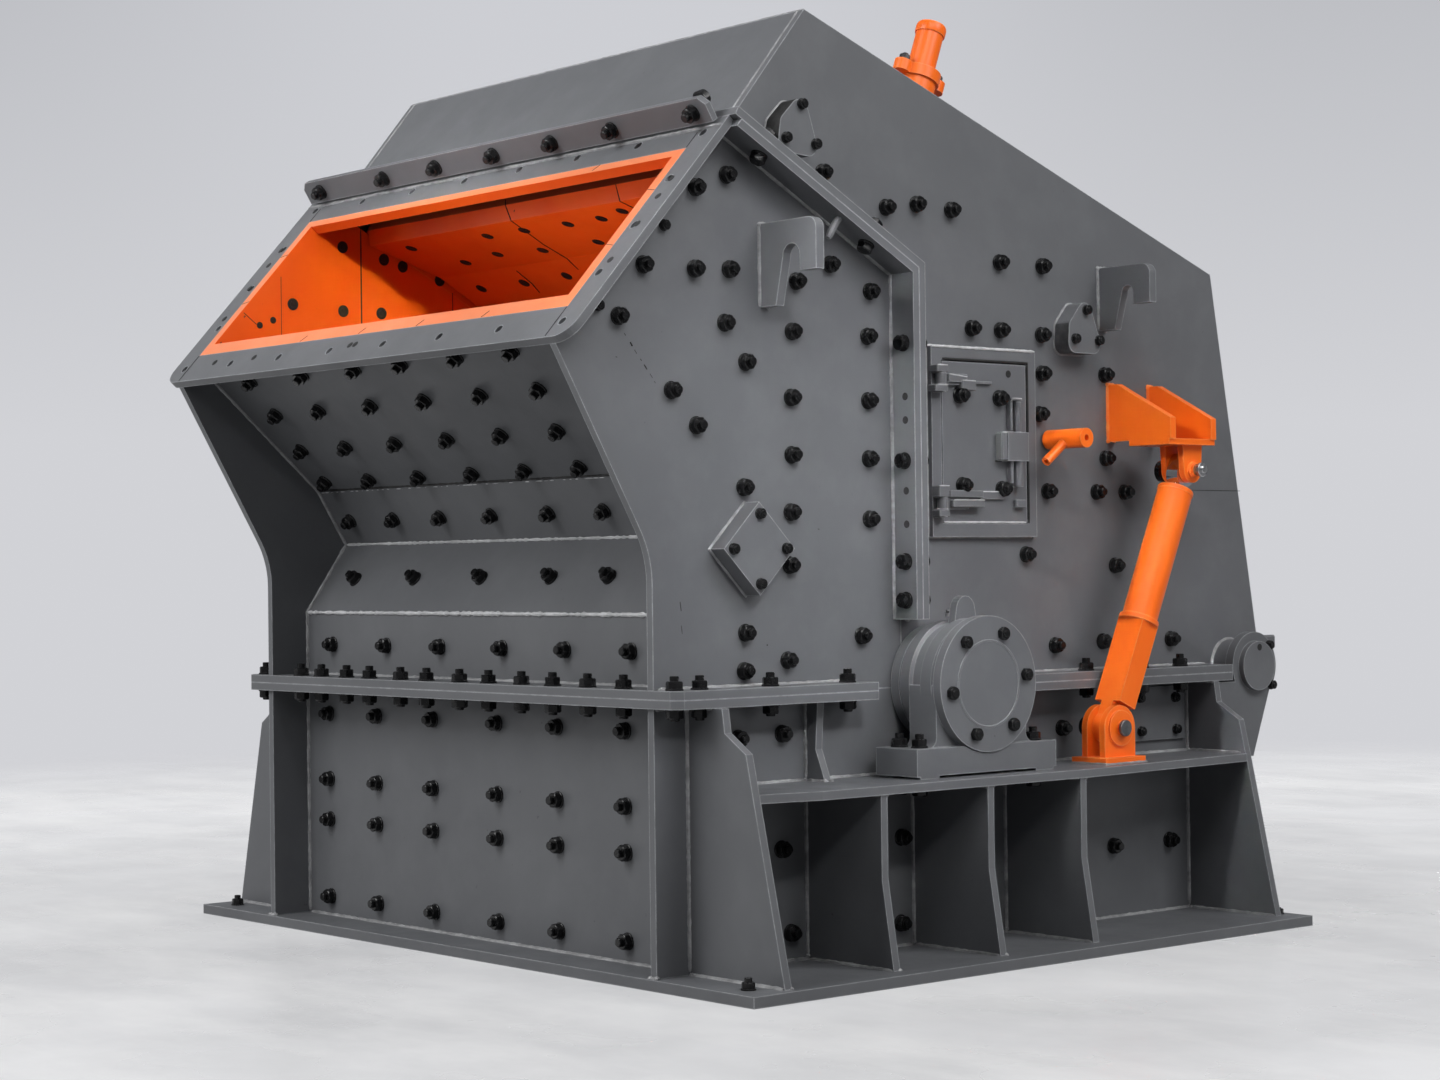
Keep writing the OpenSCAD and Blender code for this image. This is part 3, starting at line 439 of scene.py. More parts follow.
# Finish of a fitting: the first part of its name, its material and its slot
FINISHES = {
    "black": ("Fasteners", BLACK, None),
    "weld": ("Welds", WELD, "grey_paint"),
    "bright": ("PaintedHighlights", PAINTED_HIGHLIGHT, "grey_paint"),
    "weld_orange": ("OrangeWelds", WELD_ORANGE, "orange_paint"),
    "grey": ("GreyFittings", GREY, "grey_paint"),
    "orange": ("OrangeFittings", ORANGE, "orange_paint"),
    "liner": ("LinerPlates", LINER, "orange_paint"),
    "gap": ("DarkJointsAndShade", DARK_JOINT_AND_SHADE, None),
    "steel": ("SteelFittings", STEEL, "rod_chrome"),
    "bronze": ("PinHeads", BRONZE, None),
    "pin": ("SteelPinsAndShade", PIN_STEEL_AND_SHADE, None),
}
# Materials of the frame's own nodes; those not named here are grey
PAINTED = (
    (LINER, ("side_liners", "feed_liners", "first_apron", "second_apron")),
    (ORANGE, ("apron_adjusters", "ram_feet", "ram_brackets", "lock_handle_right", "lock_handle_left",
              "ram_barrel_right", "ram_barrel_left")),
    (CHROME, ("ram_rod_right", "ram_rod_left")),
    (IRON, ("blow_bars", "rotor_discs")),
    (STEEL, ("rotor_shaft",)),
)
paint_of = {name: paint for paint, names in PAINTED for name in names}
for name, part in nodes.items():
    part.data.materials.clear()
    part.data.materials.append(paint_of.get(name, GREY))


# ---------------------------------------------------------------- templates
def hexagon(corner, flat, z_corner, z_flat):
    """Loop round a nut, through its corners and the middles of its flats."""
    loop = []
    for k in range(12):
        r, z = (flat, z_flat) if k % 2 else (corner, z_corner)
        loop.append((r * math.cos(math.pi * k / 6), r * math.sin(math.pi * k / 6), z))
    return loop


def make_nut(scale=1.0, stud=11.0, washer=True):
    """Washer, hexagon nut with chamfered corners and the end of its stud."""
    s = Shape()
    z = 0.0
    if washer:
        lathe(s, [(21, 0), (21, 3.4), (20, 4.2), (12, 4.2)], 24)
        z = 4.2
    rings(s, [hexagon(19.7, 18, z, z), hexagon(19.7, 18, z + 14, z + 15.8),
              hexagon(17.2, 16.6, z + 17, z + 17)])
    if stud:
        lathe(s, [(10.6, z + 17), (10.6, z + 16 + stud), (9.2, z + 17.6 + stud)], 16)
    out = Shape()
    out.put(s, Matrix.Scale(scale, 4))
    return out


NUT = make_nut(0.96)
SHORT_NUT = make_nut(stud=5.0)
HEAD = make_nut(0.95, stud=0)
SMALL = make_nut(0.62, stud=4.0)
PLUG = Shape()
lathe(PLUG, [(16, 0), (16, 1.2), (14.5, 2.2), (9, 2.2), (8, 1.0)], 20)
HOLE = Shape()
lathe(HOLE, [(9, -1), (9, 0.5), (8.4, 0.6)], 16)


class Kit:
    """Fittings that ride on one body, in one shape for each finish."""

    def __init__(self):
        self.parts = {}

    def of(self, finish):
        return self.parts.setdefault(finish, Shape())

    def both(self, shape, finish, sides=BOTH):
        for side in sides:
            self.of(finish).put(shape if side > 0 else shape.mirrored())

    def fix(self, template, point, finish="black", spin=0.0, sides=BOTH, inward=False):
        """A template at a point on a side face that looks outward or inward."""
        for side in sides:
            facing = -side if inward else side
            at = (side * point[0], point[1], point[2])
            self.of(finish).put(template, turned(at, (facing, 0, 0), spin))

    def bolt(self, point, normal, template=None, finish="black", reach=45, sides=ONCE):
        """A template on the frame's own face near a point, with a random turn."""
        for side in sides:
            n = (side * normal[0], normal[1], normal[2])
            at, face = on_face((side * point[0], point[1], point[2]), n, reach)
            if face.dot(Vector(n)) < 0:
                face = -face
            self.of(finish).put(template or NUT, turned(at, face, rng.random() * math.pi))

    def weld(self, points, radius=5.5, finish="weld", sides=BOTH, closed=False, ends=True, ripple=0.28):
        one = Shape()
        tube(one, points, radius, ripple=ripple, closed=closed)
        if ends and not closed:
            drop = [(radius * 1.35, -3), (radius * 1.45, 0), (radius, radius * 0.9), (0.5, radius * 1.2)]
            for p in (points[0], points[-1]):
                if rng.random() < 0.5:
                    way = (rng.random() - 0.3, rng.random() - 0.7, rng.random() + 0.2)
                    lathe(one, drop, 10, turned(p, way))
        self.both(one, finish, sides)

    def line(self, points, radius, step=60, finish="gap"):
        """Thin line on a face: a dark joint, a dark line of painted shade, or a bright line of painted
        highlight along an edge.
        """
        tube(self.of(finish), points, radius, 6, step, 0.4 if finish == "bright" else 0.0)


kits = {name: Kit() for name in frame["bodies"]}
body = kits["frame"]
hood = kits["hood"]
# Turns a plate drawn as (y, z) points with its thickness up into one with its thickness along X
SIDEWAYS = Matrix(((0, 0, 1, 0), (1, 0, 0, 0), (0, 1, 0, 0), (0, 0, 0, 1)))


def wall_bolts(kit, places, template=None, x=WALL):
    """Bolts on both side faces at (y, z) places."""
    for y, z in places:
        kit.bolt((x, y, z), (1, 0, 0), template, sides=BOTH)


def go(p, angle, d):
    return (p[0] + d * math.cos(angle), p[1] + d * math.sin(angle))


def shifted(line, t):
    """A line of (y, z) points moved sideways by t, to its left for a positive t."""
    v = [np.array(p, float) for p in line]
    out = []
    for i, p in enumerate(v):
        normals = []
        for a, b in ((i - 1, i), (i, i + 1)):
            if a >= 0 and b < len(v):
                d = (v[b] - v[a]) / np.linalg.norm(v[b] - v[a])
                normals.append(np.array([-d[1], d[0]]))
        n = sum(normals) / len(normals)
        n = n / (n @ n) ** 0.5
        out.append(tuple(p + t * n / float(normals[0] @ n)))
    return out


def at_x(line, x):
    return [(x, y, z) for y, z in line]


def circle(centre, r, n, x):
    turns = [2 * math.pi * k / n for k in range(n)]
    return [(x, centre[0] + r * math.cos(a), centre[1] + r * math.sin(a)) for a in turns]


# ---------------------------------------------------------------- fasteners of the frame
for z in (550, 380, 275, 75):
    for x in (-675, -450, -200, 70, 310, 565):
        body.bolt((x, FRONT, z), (0, -1, 0))
for z in (540, 300, 90):
    for x in (-600, -360, -120, 120, 360, 600):
        body.bolt((x, BACK, z), (0, 1, 0))
HOUSING_BOLTS = [(-785, 1755), (-695, 1790), (-935, 1575), (-790, 1575), (-690, 1580), (-490, 1565),
                 (-385, 1610), (-260, 1555), (-1005, 1460), (-705, 1460), (-505, 1450), (-270, 1450),
                 (-645, 1375), (-860, 1305), (-510, 1300), (-270, 1300), (-790, 1230), (-510, 1170),
                 (-270, 1165), (-655, 1095), (-515, 1040), (-270, 1025), (-520, 920), (-655, 770),
                 (-300, 755), (-530, 705), (-660, 685)]
wall_bolts(body, HOUSING_BOLTS)
wall_bolts(body, ((-875, 1665), (-1060, 1480)), SMALL)
wall_bolts(body, ((-680, 535), (-550, 540), (375, 510), (-555, 280), (-530, 90), (-180, 280), (-185, 80),
                  (560, 205), (775, 205)))

# Chute: the bends above and below each row, its distance down that panel, its columns along X
CHUTE_ROWS = [(4, 3, 65, (-610, -365, -130, 70, 295, 510)), (4, 3, 185, (-635, -430, -195, 35, 265, 490)),
              (4, 3, 315, (-670, -460, -235, -10, 210, 430)), (4, 3, 435, (-700, -490, -265, -35, 180, 395)),
              (3, 2, 93, (-695, -490, -280, -60, 175, 390)), (2, 1, 113, (-635, -360, -70, 215, 440)),
              (1, 0, 82, (-655, -405, -165, 95, 345, 590))]
for a, b, down, columns in CHUTE_ROWS:
    top = Vector(CHUTE[a])
    d = (Vector(CHUTE[b]) - top).normalized()
    for x in columns:
        body.bolt((x, *(top + down * d)), (0, d[1], -d[0]))


# Joint flanges: a nut above and a nut below
def flange_bolts(upper, x, y, sides):
    upper.bolt((x, y, JOINT_HIGH), (0, 0, 1), reach=15, sides=sides)
    body.bolt((x, y, JOINT_LOW), (0, 0, -1), SHORT_NUT, reach=15, sides=sides)


for x in (-846, -673, -576, -458, -353, -214, -101, 38, 157, 288, 408, 539, 669, 846):
    flange_bolts(body, x, -898, ONCE)
for y in (-830, -625, -390):
    flange_bolts(body, 850, y, BOTH)
for y in (415, 620, 770):
    flange_bolts(hood, 850, y, BOTH)

# Holding-down bolts in the base, each on a dark disc
for x in (-1050, 1050):
    for y in (-873, 901):
        body.bolt((x, y, BASE), (0, 0, 1), SMALL if y > 0 else make_nut(0.8), reach=60)
        lathe(body.of("black"), [(14, BASE - 3), (14, BASE + 1)], 16, Matrix.Translation((x, y, 0)))

# Beam along the top of the feed opening: nuts in front, heads behind
beam_lean = math.radians(90 + 32)
beam_n = Vector((0, -math.sin(beam_lean), math.cos(beam_lean)))
beam_foot = go(LIP, FEED_SLOPE, 661)
for x in (-755, -455, -220, 25, 260, 490, 780):
    place = (x, *go(beam_foot, beam_lean, 37))
    body.bolt(place, beam_n, reach=30)
    body.bolt(place, -beam_n, HEAD, reach=12)
body.bolt((800, *go(beam_foot, beam_lean, 58)), -beam_n, HEAD, reach=12)

# Split flanges: heads on the housing's side, nuts on the hood's side
slope = math.atan2(SPLIT[1][1] - SPLIT[0][1], SPLIT[1][0] - SPLIT[0][0])
down_n = Vector((0, math.sin(slope), -math.cos(slope)))
for along in (120, 490):
    middle = Vector((840, *go(SPLIT[0], slope, along)))
    body.bolt(middle + FLANGE * down_n, down_n, HEAD, sides=BOTH, reach=12)
    hood.bolt(middle - (FLANGE + 0.3) * down_n, -down_n, SHORT_NUT, sides=BOTH, reach=12)
for z in (1435, 1160, 925, 835):
    body.bolt((SPLIT_BOLT, -191, z), (0, -1, 0), HEAD, sides=BOTH)
    hood.bolt((SPLIT_BOLT, -151, z), (0, 1, 0), SHORT_NUT, sides=BOTH, reach=15)
for z in (1310, 1255, 1090, 1012):
    body.bolt((845, -191, z), (0, -1, 0), HOLE, "gap", sides=BOTH)

# Diamond covers, one bolt to each corner
corners = [(DIAMOND[0] + dy, DIAMOND[1] + dz) for dy, dz in ((0, 78), (0, -78), (78, 0), (-78, 0))]
wall_bolts(body, corners, SMALL, COVER_FACE)

# Bearings: cap screws and foot nuts
BEARING_FEET = [(x, y) for y in (-262, 114) for x in (884, 950)]
for k in range(6):
    a = math.radians(60 * k + 8)
    place = (CAP_FACE, *go(SHAFT, a, 124))
    body.bolt(place, (1, 0, 0), make_nut(0.8, 3, False), sides=BOTH)
for x, y in BEARING_FEET:
    body.bolt((x, y, 499), (0, 0, 1), make_nut(0.95, 12), sides=BOTH, reach=15)

# Hood sides, covers, rear wall and roof
HOOD_BOLTS = [(-205, 1755), (-105, 1770), (10, 1765), (175, 1650), (325, 1650), (75, 1485), (175, 1485),
              (320, 1480), (320, 1385), (550, 1390), (310, 1285), (550, 1180), (335, 1095), (515, 1095),
              (620, 1095), (255, 940), (580, 910), (355, 715), (530, 720), (790, 720), (-405, 1820)]
wall_bolts(hood, HOOD_BOLTS)
COVER_BOLTS = [(-510, 1960), (-559, 1880), (-469, 1873), (432, 1544), (390, 1471), (476, 1470)]
wall_bolts(hood, COVER_BOLTS, SMALL, COVER_FACE)
rear_n = (0, math.cos(REAR_LEAN), math.sin(REAR_LEAN))
for up in (120, 340, 560, 780, 960):
    for x in (-640, -390, -130, 130, 390, 640):
        hood.bolt((x, *go((REAR_Y, JOINT), math.pi / 2 + REAR_LEAN, up)), rear_n, HEAD if up < 200 else NUT)
roof_n = Vector((0, -math.sin(ROOF_SLOPE), math.cos(ROOF_SLOPE)))
for along in (230, 640, 1050, 1400):
    for x in (-430, 0, 430):
        hood.bolt((x, *go(ROOF_FRONT, ROOF_SLOPE, along)), roof_n)


# ---------------------------------------------------------------- weld beads
def cross_weld(kit, end, y, z, radius=5.5, finish="weld", **more):
    """Bead along X that ends at the same distance on either side of the middle plane."""
    kit.weld([(-end, y, z), (end, y, z)], radius, finish, sides=ONCE, **more)


def rib_faces(y):
    return (y - RIB_T / 2, y + RIB_T / 2)


RIBS = (-467, -130, 183)
# End ribs: place, and how far out their foot and their knee reach
END_RIBS = ((-815, 1112, 1020), (863, 1080, 995))
bays = [END_RIBS[0][0], *RIBS, END_RIBS[1][0]]
for rib in RIBS:
    for y in rib_faces(rib):
        body.weld([(WALL, y, BASE + 8), (WALL, y, SHELF_LOW - 6)])
        body.weld([(WALL + 8, y, BASE), (1076, y, BASE)])
        body.weld([(WALL + 8, y, SHELF_LOW), (1042, y, SHELF_LOW)], 4.5)
for rib, foot, knee in END_RIBS:
    for y in rib_faces(rib):
        body.weld([(WALL, y, BASE + 8), (WALL, y, JOINT_LOW - 6)])
        body.weld([(WALL + 8, y, BASE), (foot - 4, y, BASE)])
        body.weld([(WALL + 8, y, JOINT_LOW), (885, y, JOINT_LOW)], 4.5)
        if (y < rib) == (rib > 0):
            body.weld([(WALL + 8, y, SHELF), (knee - 20, y, SHELF)])
for a, b in zip(bays, bays[1:]):
    body.weld([(WALL, a + 14, BASE), (WALL, b - 14, BASE)])
    body.weld([(WALL, a + 14, SHELF_LOW), (WALL, b - 14, SHELF_LOW)], 4.5)
body.weld([(WALL, -800, SHELF), (WALL, -480, SHELF)])
body.weld([(WALL, -454, SHELF), (WALL, 850, SHELF)])
for y in rib_faces(RIBS[0]):
    body.weld([(WALL, y, SHELF + 6), (WALL, y, JOINT_LOW - 6)])
    body.weld([(WALL + 6, y, SHELF), (862, y, SHELF)])
for z in (JOINT_LOW, JOINT_HIGH):
    body.weld([(WALL, PLATE + 10, z), (WALL, -336, z)], 5)
body.weld([(WALL, 190, JOINT_LOW), (WALL, BACK - 10, JOINT_LOW)], 5)
hood.weld([(WALL, 190, JOINT_HIGH), (WALL, 926, JOINT_HIGH)], 5)
for x in (-INNER, INNER):
    body.weld([(x, FRONT, BASE + 6), (x, FRONT, JOINT_LOW - 4)], sides=ONCE)
cross_weld(body, INNER - 8, FRONT, BASE)
cross_weld(body, WALL, BACK, BASE)
body.weld([(-WALL, PLATE, BASE), (-INNER, PLATE, BASE)])
cross_weld(body, INNER - 8, FRONT, JOINT_HIGH, 5)
cross_weld(body, INNER - 8, FRONT, JOINT_LOW, 5)
body.weld(at_x([(CHUTE[0][0], JOINT_HIGH + 4), *CHUTE[1:]], INNER))
# Painted highlights along the two lower bends of the chute
for bend, radius in ((CHUTE[1], 4.2), (CHUTE[2], 3.6)):
    cross_weld(body, INNER - 4, *bend, radius, "bright", ends=False, ripple=0.7)
cross_weld(body, INNER - 8, CHUTE[4][0], CHUTE[4][1] - 2, 5)
knee = Vector(CHUTE[3])
up_panel = (Vector(CHUTE[4]) - knee).normalized()
# At the knee of the chute: painted shade in the crease, and a painted highlight just above it
for off, finish, radius in ((0, "gap", 3.0), (-7, "bright", 2.2)):
    cross_weld(body, INNER - 4, *(knee + off * up_panel), radius, finish, ends=False, ripple=0.5)

# Feed flange: beads along its underside and its top edge, seams and holes in its face
under = go(LIP, FEED_SLOPE - math.pi / 2, 20)
body.weld(at_x([go(under, FEED_SLOPE, 12), go(under, FEED_SLOPE, 640)], WALL), 5)
cross_weld(body, WALL, *go(LIP, FEED_SLOPE, 683), 4)


def on_feed(x, v):
    """Point on the face of the feed flange, v up its slope from the lip."""
    return (x, *go(LIP, FEED_SLOPE, v))


def feed_seam(a, b, radius=1.6):
    body.line([on_feed(*a), on_feed(*b)], radius, 40)


for side in (-1, 1):
    feed_seam((side * INNER, 4), (side * INNER, 92))
    feed_seam((side * INNER, 592), (side * INNER, 640))
    for v in (231, 343, 430, 486):
        body.bolt(on_feed(side * 812, v), FEED_N, HOLE, "gap", reach=10)
for x in (-662, -470, -34, -12):
    body.bolt(on_feed(x, 58), FEED_N, HOLE, "gap", reach=10)
tube(body.of("weld"), [on_feed(-850, 653), on_feed(850, 653)], 4.5, 8, 14, 0.3)

# Split flanges, lifting hooks and diamond covers
body.weld(at_x(shifted(SPLIT, -20), WALL), 5)
hood.weld(at_x(shifted(SPLIT, 20.3), WALL), 5)
for kit, y, top in ((body, -598, 1688), (hood, 533, 1658)):
    for edge in (y, y + 24):
        kit.weld([(WALL, edge, 1502), (WALL, edge, top - 2)], 5)
    kit.weld([(WALL, y, top), (WALL, y + 24, top)], 5)
half = 74 * math.sqrt(2)
y, z = DIAMOND
body.weld(at_x([(y + half, z), (y, z + half), (y - half, z), (y, z - half)], WALL), 4, closed=True)


def lobed(corners, r, centre, lean):
    """Outline round circles at the corners, turned about a centre, as the hood's covers have it."""
    out = []
    n = len(corners)
    for i in range(n):
        before, here, after = (np.array(corners[k % n], float) for k in (i - 1, i, i + 1))
        a = math.atan2(*(here - before)[::-1]) - math.pi / 2
        b = math.atan2(*(after - here)[::-1]) - math.pi / 2
        b = b + 2 * math.pi if b < a else b
        out += [go(here, a + (b - a) * k / 6, r) for k in range(7)]
    c = math.cos(lean)
    s = math.sin(lean)
    return [(centre[0] + c * u - s * v, centre[1] + s * u + c * v) for u, v in out]


COVER = [(-5, 41), (-36, 5), (-39, -33), (25, -33)]
for centre, lean in COVERS:
    hood.weld(at_x(lobed(COVER, 26, centre, lean), WALL), 3.5, closed=True)
hood.weld(circle(HINGE, 68, 32, WALL), closed=True)
# Painted shade: a dark strip round the front edge of each cover, black on the first and dark grey on the
# second
for (centre, lean), first, last, finish in ((COVERS[0], 3, 16, "gap"), (COVERS[1], 10, 22, "pin")):
    outer = lobed(COVER, 26.6, centre, lean)[first:last]
    inner = lobed(COVER, 25.6, centre, lean)[first:last]
    low = WALL + 1
    high = COVER_FACE - 1.5
    painted_shade_strip = Shape()
    rings(painted_shade_strip, [[(low, *p), (high, *p), (high, *q), (low, *q)] for p, q in zip(outer, inner)])
    hood.both(painted_shade_strip, finish)

# Frames of the doors: beads round them, painted highlights along the top and bottom edges and on the top
# bead, and the dark groove round the leaf
for line in ([(-76, 983), (-76, 1436)], [(282, 983), (282, 1436)], [(-76, 983), (282, 983)]):
    hood.weld(at_x(line, WALL), 3.5)
for lift, line, radius, finish, ripple in (
        (15, [(-74, 1436), (280, 1436)], 3.4, "bright", 0.28),
        (15, [(-38, 1018), (244, 1018)], 2.2, "bright", 0.28),
        (15.5, [(-38, 1407), (253, 1407), (253, 1016)], 3.4, "gap", 0),
        (11, [(-41, 1398), (-41, 1019), (244, 1016)], 2.4, "gap", 0)):
    hood.weld(at_x(line, WALL + lift), radius, finish, ends=False, ripple=ripple)
hood.weld([(WALL, -76, 1437), (WALL, 282, 1437)], 4, "bright")

# Ram brackets and feet, edges of the hood, rear corners of the base
for y in (563, 583, 717, 737):
    hood.weld([(WALL, y, 1224), (WALL, y, 1364)], 5, "weld_orange")
for y in (563, 717):
    hood.weld([(WALL, y, 1366), (WALL, y + 20, 1366)], 4.5, "weld_orange")
foot = [(891, 314, SHELF), (1001, 314, SHELF), (1001, 458, SHELF), (891, 458, SHELF)]
body.weld(foot, 4.5, closed=True)
hood.weld(at_x([ROOF_FRONT, ROOF_BACK, (REAR_Y, 633)], INNER), 2.6, ends=False)
hood.weld(at_x([ROOF_FRONT, (-694, 1897)], INNER), 2.6, ends=False)
cross_weld(hood, INNER, *ROOF_BACK, 3, ends=False)
cross_weld(hood, WALL - 4, -451, 2190, 2.4, ends=False)
body.weld([(INNER, BACK, BASE + 6), (INNER, BACK, JOINT_LOW)], 3)

# ---------------------------------------------------------------- small fittings
# Access plate on the lower side walls
access = Shape()
block(access, (WALL - 2, 625, 462), (WALL + 8, 835, 600))
body.both(access, "grey")
for y, z in ((660, 573), (795, 570), (663, 488), (799, 488)):
    for side in BOTH:
        body.fix(SMALL, (WALL + 8, y, z), spin=rng.random(), sides=(side,))

# Bearings: raised ring on the cap, grease plug on top, heads under the shelf
raised = [(103, -1), (103, 1.2), (101.5, 2.0), (98.5, 2.0), (97, 1.2), (97, -1)]
cap_ring = Shape()
lathe(cap_ring, raised, 64, turned((CAP_FACE, *SHAFT), (1, 0, 0)))
body.both(cap_ring, "grey")
grease = Shape()
lathe(grease, [(9, -2), (9, 5), (7.5, 6), (7.5, 12), (4, 14)], 12, turned((862, SHAFT[0], 797), (0, 0, 1)))
body.both(grease, "steel")
for x, y in BEARING_FEET:
    body.bolt((x, y, SHELF_LOW), (0, 0, -1), HEAD, sides=BOTH, reach=15)

# Curved lug under the sloping split flange
arc = [k / 8 for k in range(9)]
lug = Shape()
tube(lug, [(850, -433 + 72 * t, 1663 + 60 * t + 18 * math.sin(math.pi * t)) for t in arc], 9, 10, 10)
body.both(lug, "grey")

# Marks of use on the right wall: a broken scratch and dark chips
MARKS = [((-988, 1424), (-984, 1419), 0.9), ((-972, 1405), (-966, 1397), 2.6),
         ((-960, 1389), (-954, 1381), 0.9), ((-944, 1370), (-941, 1366), 1.2),
         ((-934, 1358), (-926, 1348), 1.6), ((-918, 1339), (-911, 1330), 0.9),
         ((-906, 1323), (-903, 1319), 0.9), ((-841, 842), (-838, 822), 1.0),
         ((-838, 790), (-836, 772), 0.8), ((-590, 742), (-588, 740), 2.2),
         ((-1012, 1372), (-1008, 1371), 1.2), ((-430, 1002), (-426, 1001), 1.2)]
for start, end, radius in MARKS:
    body.line(at_x((start, end), WALL), radius, 8)
# Faint plate joint on the hood
for side in BOTH:
    hood.line(at_x([(882, 1103), (1082, 1103)], side * WALL), 0.9)

# Hinges: grease hole, lower bolt, and a stop lug with its nut
hinge_y, hinge_z = HINGE
body.fix(HOLE, (902, hinge_y + 2, hinge_z + 48), "gap")
body.fix(SMALL, (886, hinge_y + 66, hinge_z - 52), spin=0.3)
body.fix(make_nut(0.6, 5), (886, hinge_y + 58, hinge_z + 52), spin=0.8)
stop = Shape()
block(stop, (866, hinge_y + 52, hinge_z + 42), (884, hinge_y + 92, hinge_z + 78), 4)
body.both(stop, "grey")

# Doors: hinge straps and latch on the leaf
OUT = LEAF + 20
THIN = LEAF + 8
straps = Shape()
# Upper hinge: sloping strap piece, block under it, thin tongue
prism(straps, [(-34, 1351), (28, 1351), (28, 1365), (-34, 1370)], LEAF + 4, OUT - 2, SIDEWAYS)
block(straps, (LEAF, 8, 1332), (OUT, 56, 1356))
block(straps, (LEAF, 56, 1350), (THIN, 122, 1357), 1)
# Lower hinge: two flat pieces over each other, the upper one with a long tongue
block(straps, (LEAF + 10, -36, 1076), (OUT, 77, 1094))
block(straps, (LEAF, 77, 1073), (THIN, 157, 1092), 1)
block(straps, (LEAF + 10, -30, 1053), (OUT + 3, 77, 1071))
# Latch: rounded side of its block, channel above and below, catch, cap
block(straps, (LEAF, 137, 1166.5), (LEAF + 25.7, 158, 1235.5), 4)
block(straps, (LEAF, 178, 1240), (LEAF + 15, 187, 1316))
block(straps, (LEAF, 178, 1112), (LEAF + 15, 188, 1170))
block(straps, (LEAF, 196, 1052), (LEAF + 14, 232, 1074), 3)
block(straps, (LEAF, 177, 1313), (LEAF + 20, 215, 1319), 1)
# Hinge blocks on the frame of the door, clear of the turning leaf
BLOCK_TOP = 843
hinge_blocks = Shape()
for low, high in (((-82, 1373), (-44, 1390)), ((-88, 1326), (-46, 1343)),
                  ((-80, 1077), (-45, 1104)), ((-80, 1030), (-45, 1047))):
    block(hinge_blocks, (LEAF, *low), (BLOCK_TOP, *high))
# Painted highlights: bright lines along the top edges of the straps and the latch
TOP_EDGE_HIGHLIGHTS = [(OUT - 2, [(-33, 1369.5), (27, 1364.5)]), (OUT, [(10, 1355.5), (54, 1355.5)]),
              (THIN, [(79, 1091.5), (155, 1091.5)]), (OUT + 3, [(-26, 1070.5), (75, 1070.5)]),
              (LEAF + 24, [(141, 1235), (224, 1235)]), (LEAF + 20, [(180, 1318), (212, 1318)])]
# Painted shade: dark lines beside the latch bar, under the latch block and under the upper strap
PAINTED_SHADE_LINES = [[(191, 1118), (191, 1164)], [(191, 1250), (191, 1310)], [(137, 1166), (160, 1166)],
              [(-28, 1348), (6, 1348)]]
for side, name in ((1, "door_right"), (-1, "door_left")):
    door = kits[name]
    for y, z in ((16, 1321), (151, 1318), (22, 1106), (157, 1098)):
        door.fix(NUT, (LEAF, y, z), spin=rng.random() * 3, sides=(side,))
    door.fix(HOLE, (LEAF, 187, 1378), "gap", sides=(side,))
    door.both(straps, "grey", (side,))
    for x, line in TOP_EDGE_HIGHLIGHTS:
        door.line(at_x(line, side * x), 1.5, 12, "bright")
    for line in PAINTED_SHADE_LINES:
        door.line(at_x(line, side * LEAF), 2.4, 30)
    hood.both(hinge_blocks, "grey", (side,))
    # Painted highlights along the top edges of the hinge blocks
    for z in (1389.5, 1342.5, 1103.5):
        hood.line(at_x([(-80, z), (-47, z)], side * BLOCK_TOP), 1.4, 12, "bright")

# Adjusters on the roof: nuts on their ears, a rim on the cap and one round the foot
roof_z = ROOF_FRONT[1] + (-15 - ROOF_FRONT[0]) * math.tan(ROOF_SLOPE)
along_roof = Vector((0, math.cos(ROOF_SLOPE), math.sin(ROOF_SLOPE)))
for side in BOTH:
    origin = Vector((side * 700, -15, roof_z))
    for ear in (-58, 58):
        place = origin + along_roof * ear + roof_n * 88
        hood.of("black").put(make_nut(0.72, 6), turned(place, roof_n, 0.4))
    for profile in ([(36.5, 186), (37.5, 190), (37.5, 204), (36, 209)], [(47.5, 0), (47.5, 9), (46, 12)]):
        lathe(hood.of("orange"), profile, 40, turned(origin, roof_n))


# Rams: pin heads, a collar outside the upper clevis, and bands on the barrels
def pin_head(kit, x, place, radius, length, finish):
    """Chamfered end of a pin, standing outward from x, or inward if its length is negative."""
    head = Shape()
    end = abs(length)
    profile = [(radius, 0), (radius, end - 1.5), (radius - 2, end)]
    lathe(head, profile, 24, turned((x, *place), (math.copysign(1, length), 0, 0)))
    kit.both(head, finish)


pin_head(body, 997, RAM_FOOT, 20, 8, "pin")
pin_head(body, 895, RAM_FOOT, 24, -26, "black")
pin_head(hood, 997, RAM_HEAD, 14, 12, "bronze")
pin_head(hood, 895, RAM_HEAD, 27, -16, "black")
collar = Shape()
steps = [(18, 0), (18, 6), (16.5, 7.5), (9, 7.5), (9, 11), (7.5, 12)]
lathe(collar, steps, 24, turned((1008.5, *RAM_HEAD), (1, 0, 0)))
hood.both(collar, "steel")
ram_foot = Vector((RAM_X, *RAM_FOOT))
ram_way = (Vector((RAM_X, *RAM_HEAD)) - ram_foot).normalized()
bands = Shape()
lathe(bands, [(50, 0), (50, 10), (48, 12)], 48, turned(ram_foot + ram_way * 276, ram_way))
lathe(bands, [(45.5, 0), (45.5, 9), (44.5, 10)], 48, turned(ram_foot + ram_way * 628, ram_way))
kits["barrel_right"].both(bands, "orange", (1,))
kits["barrel_left"].both(bands, "orange", (-1,))

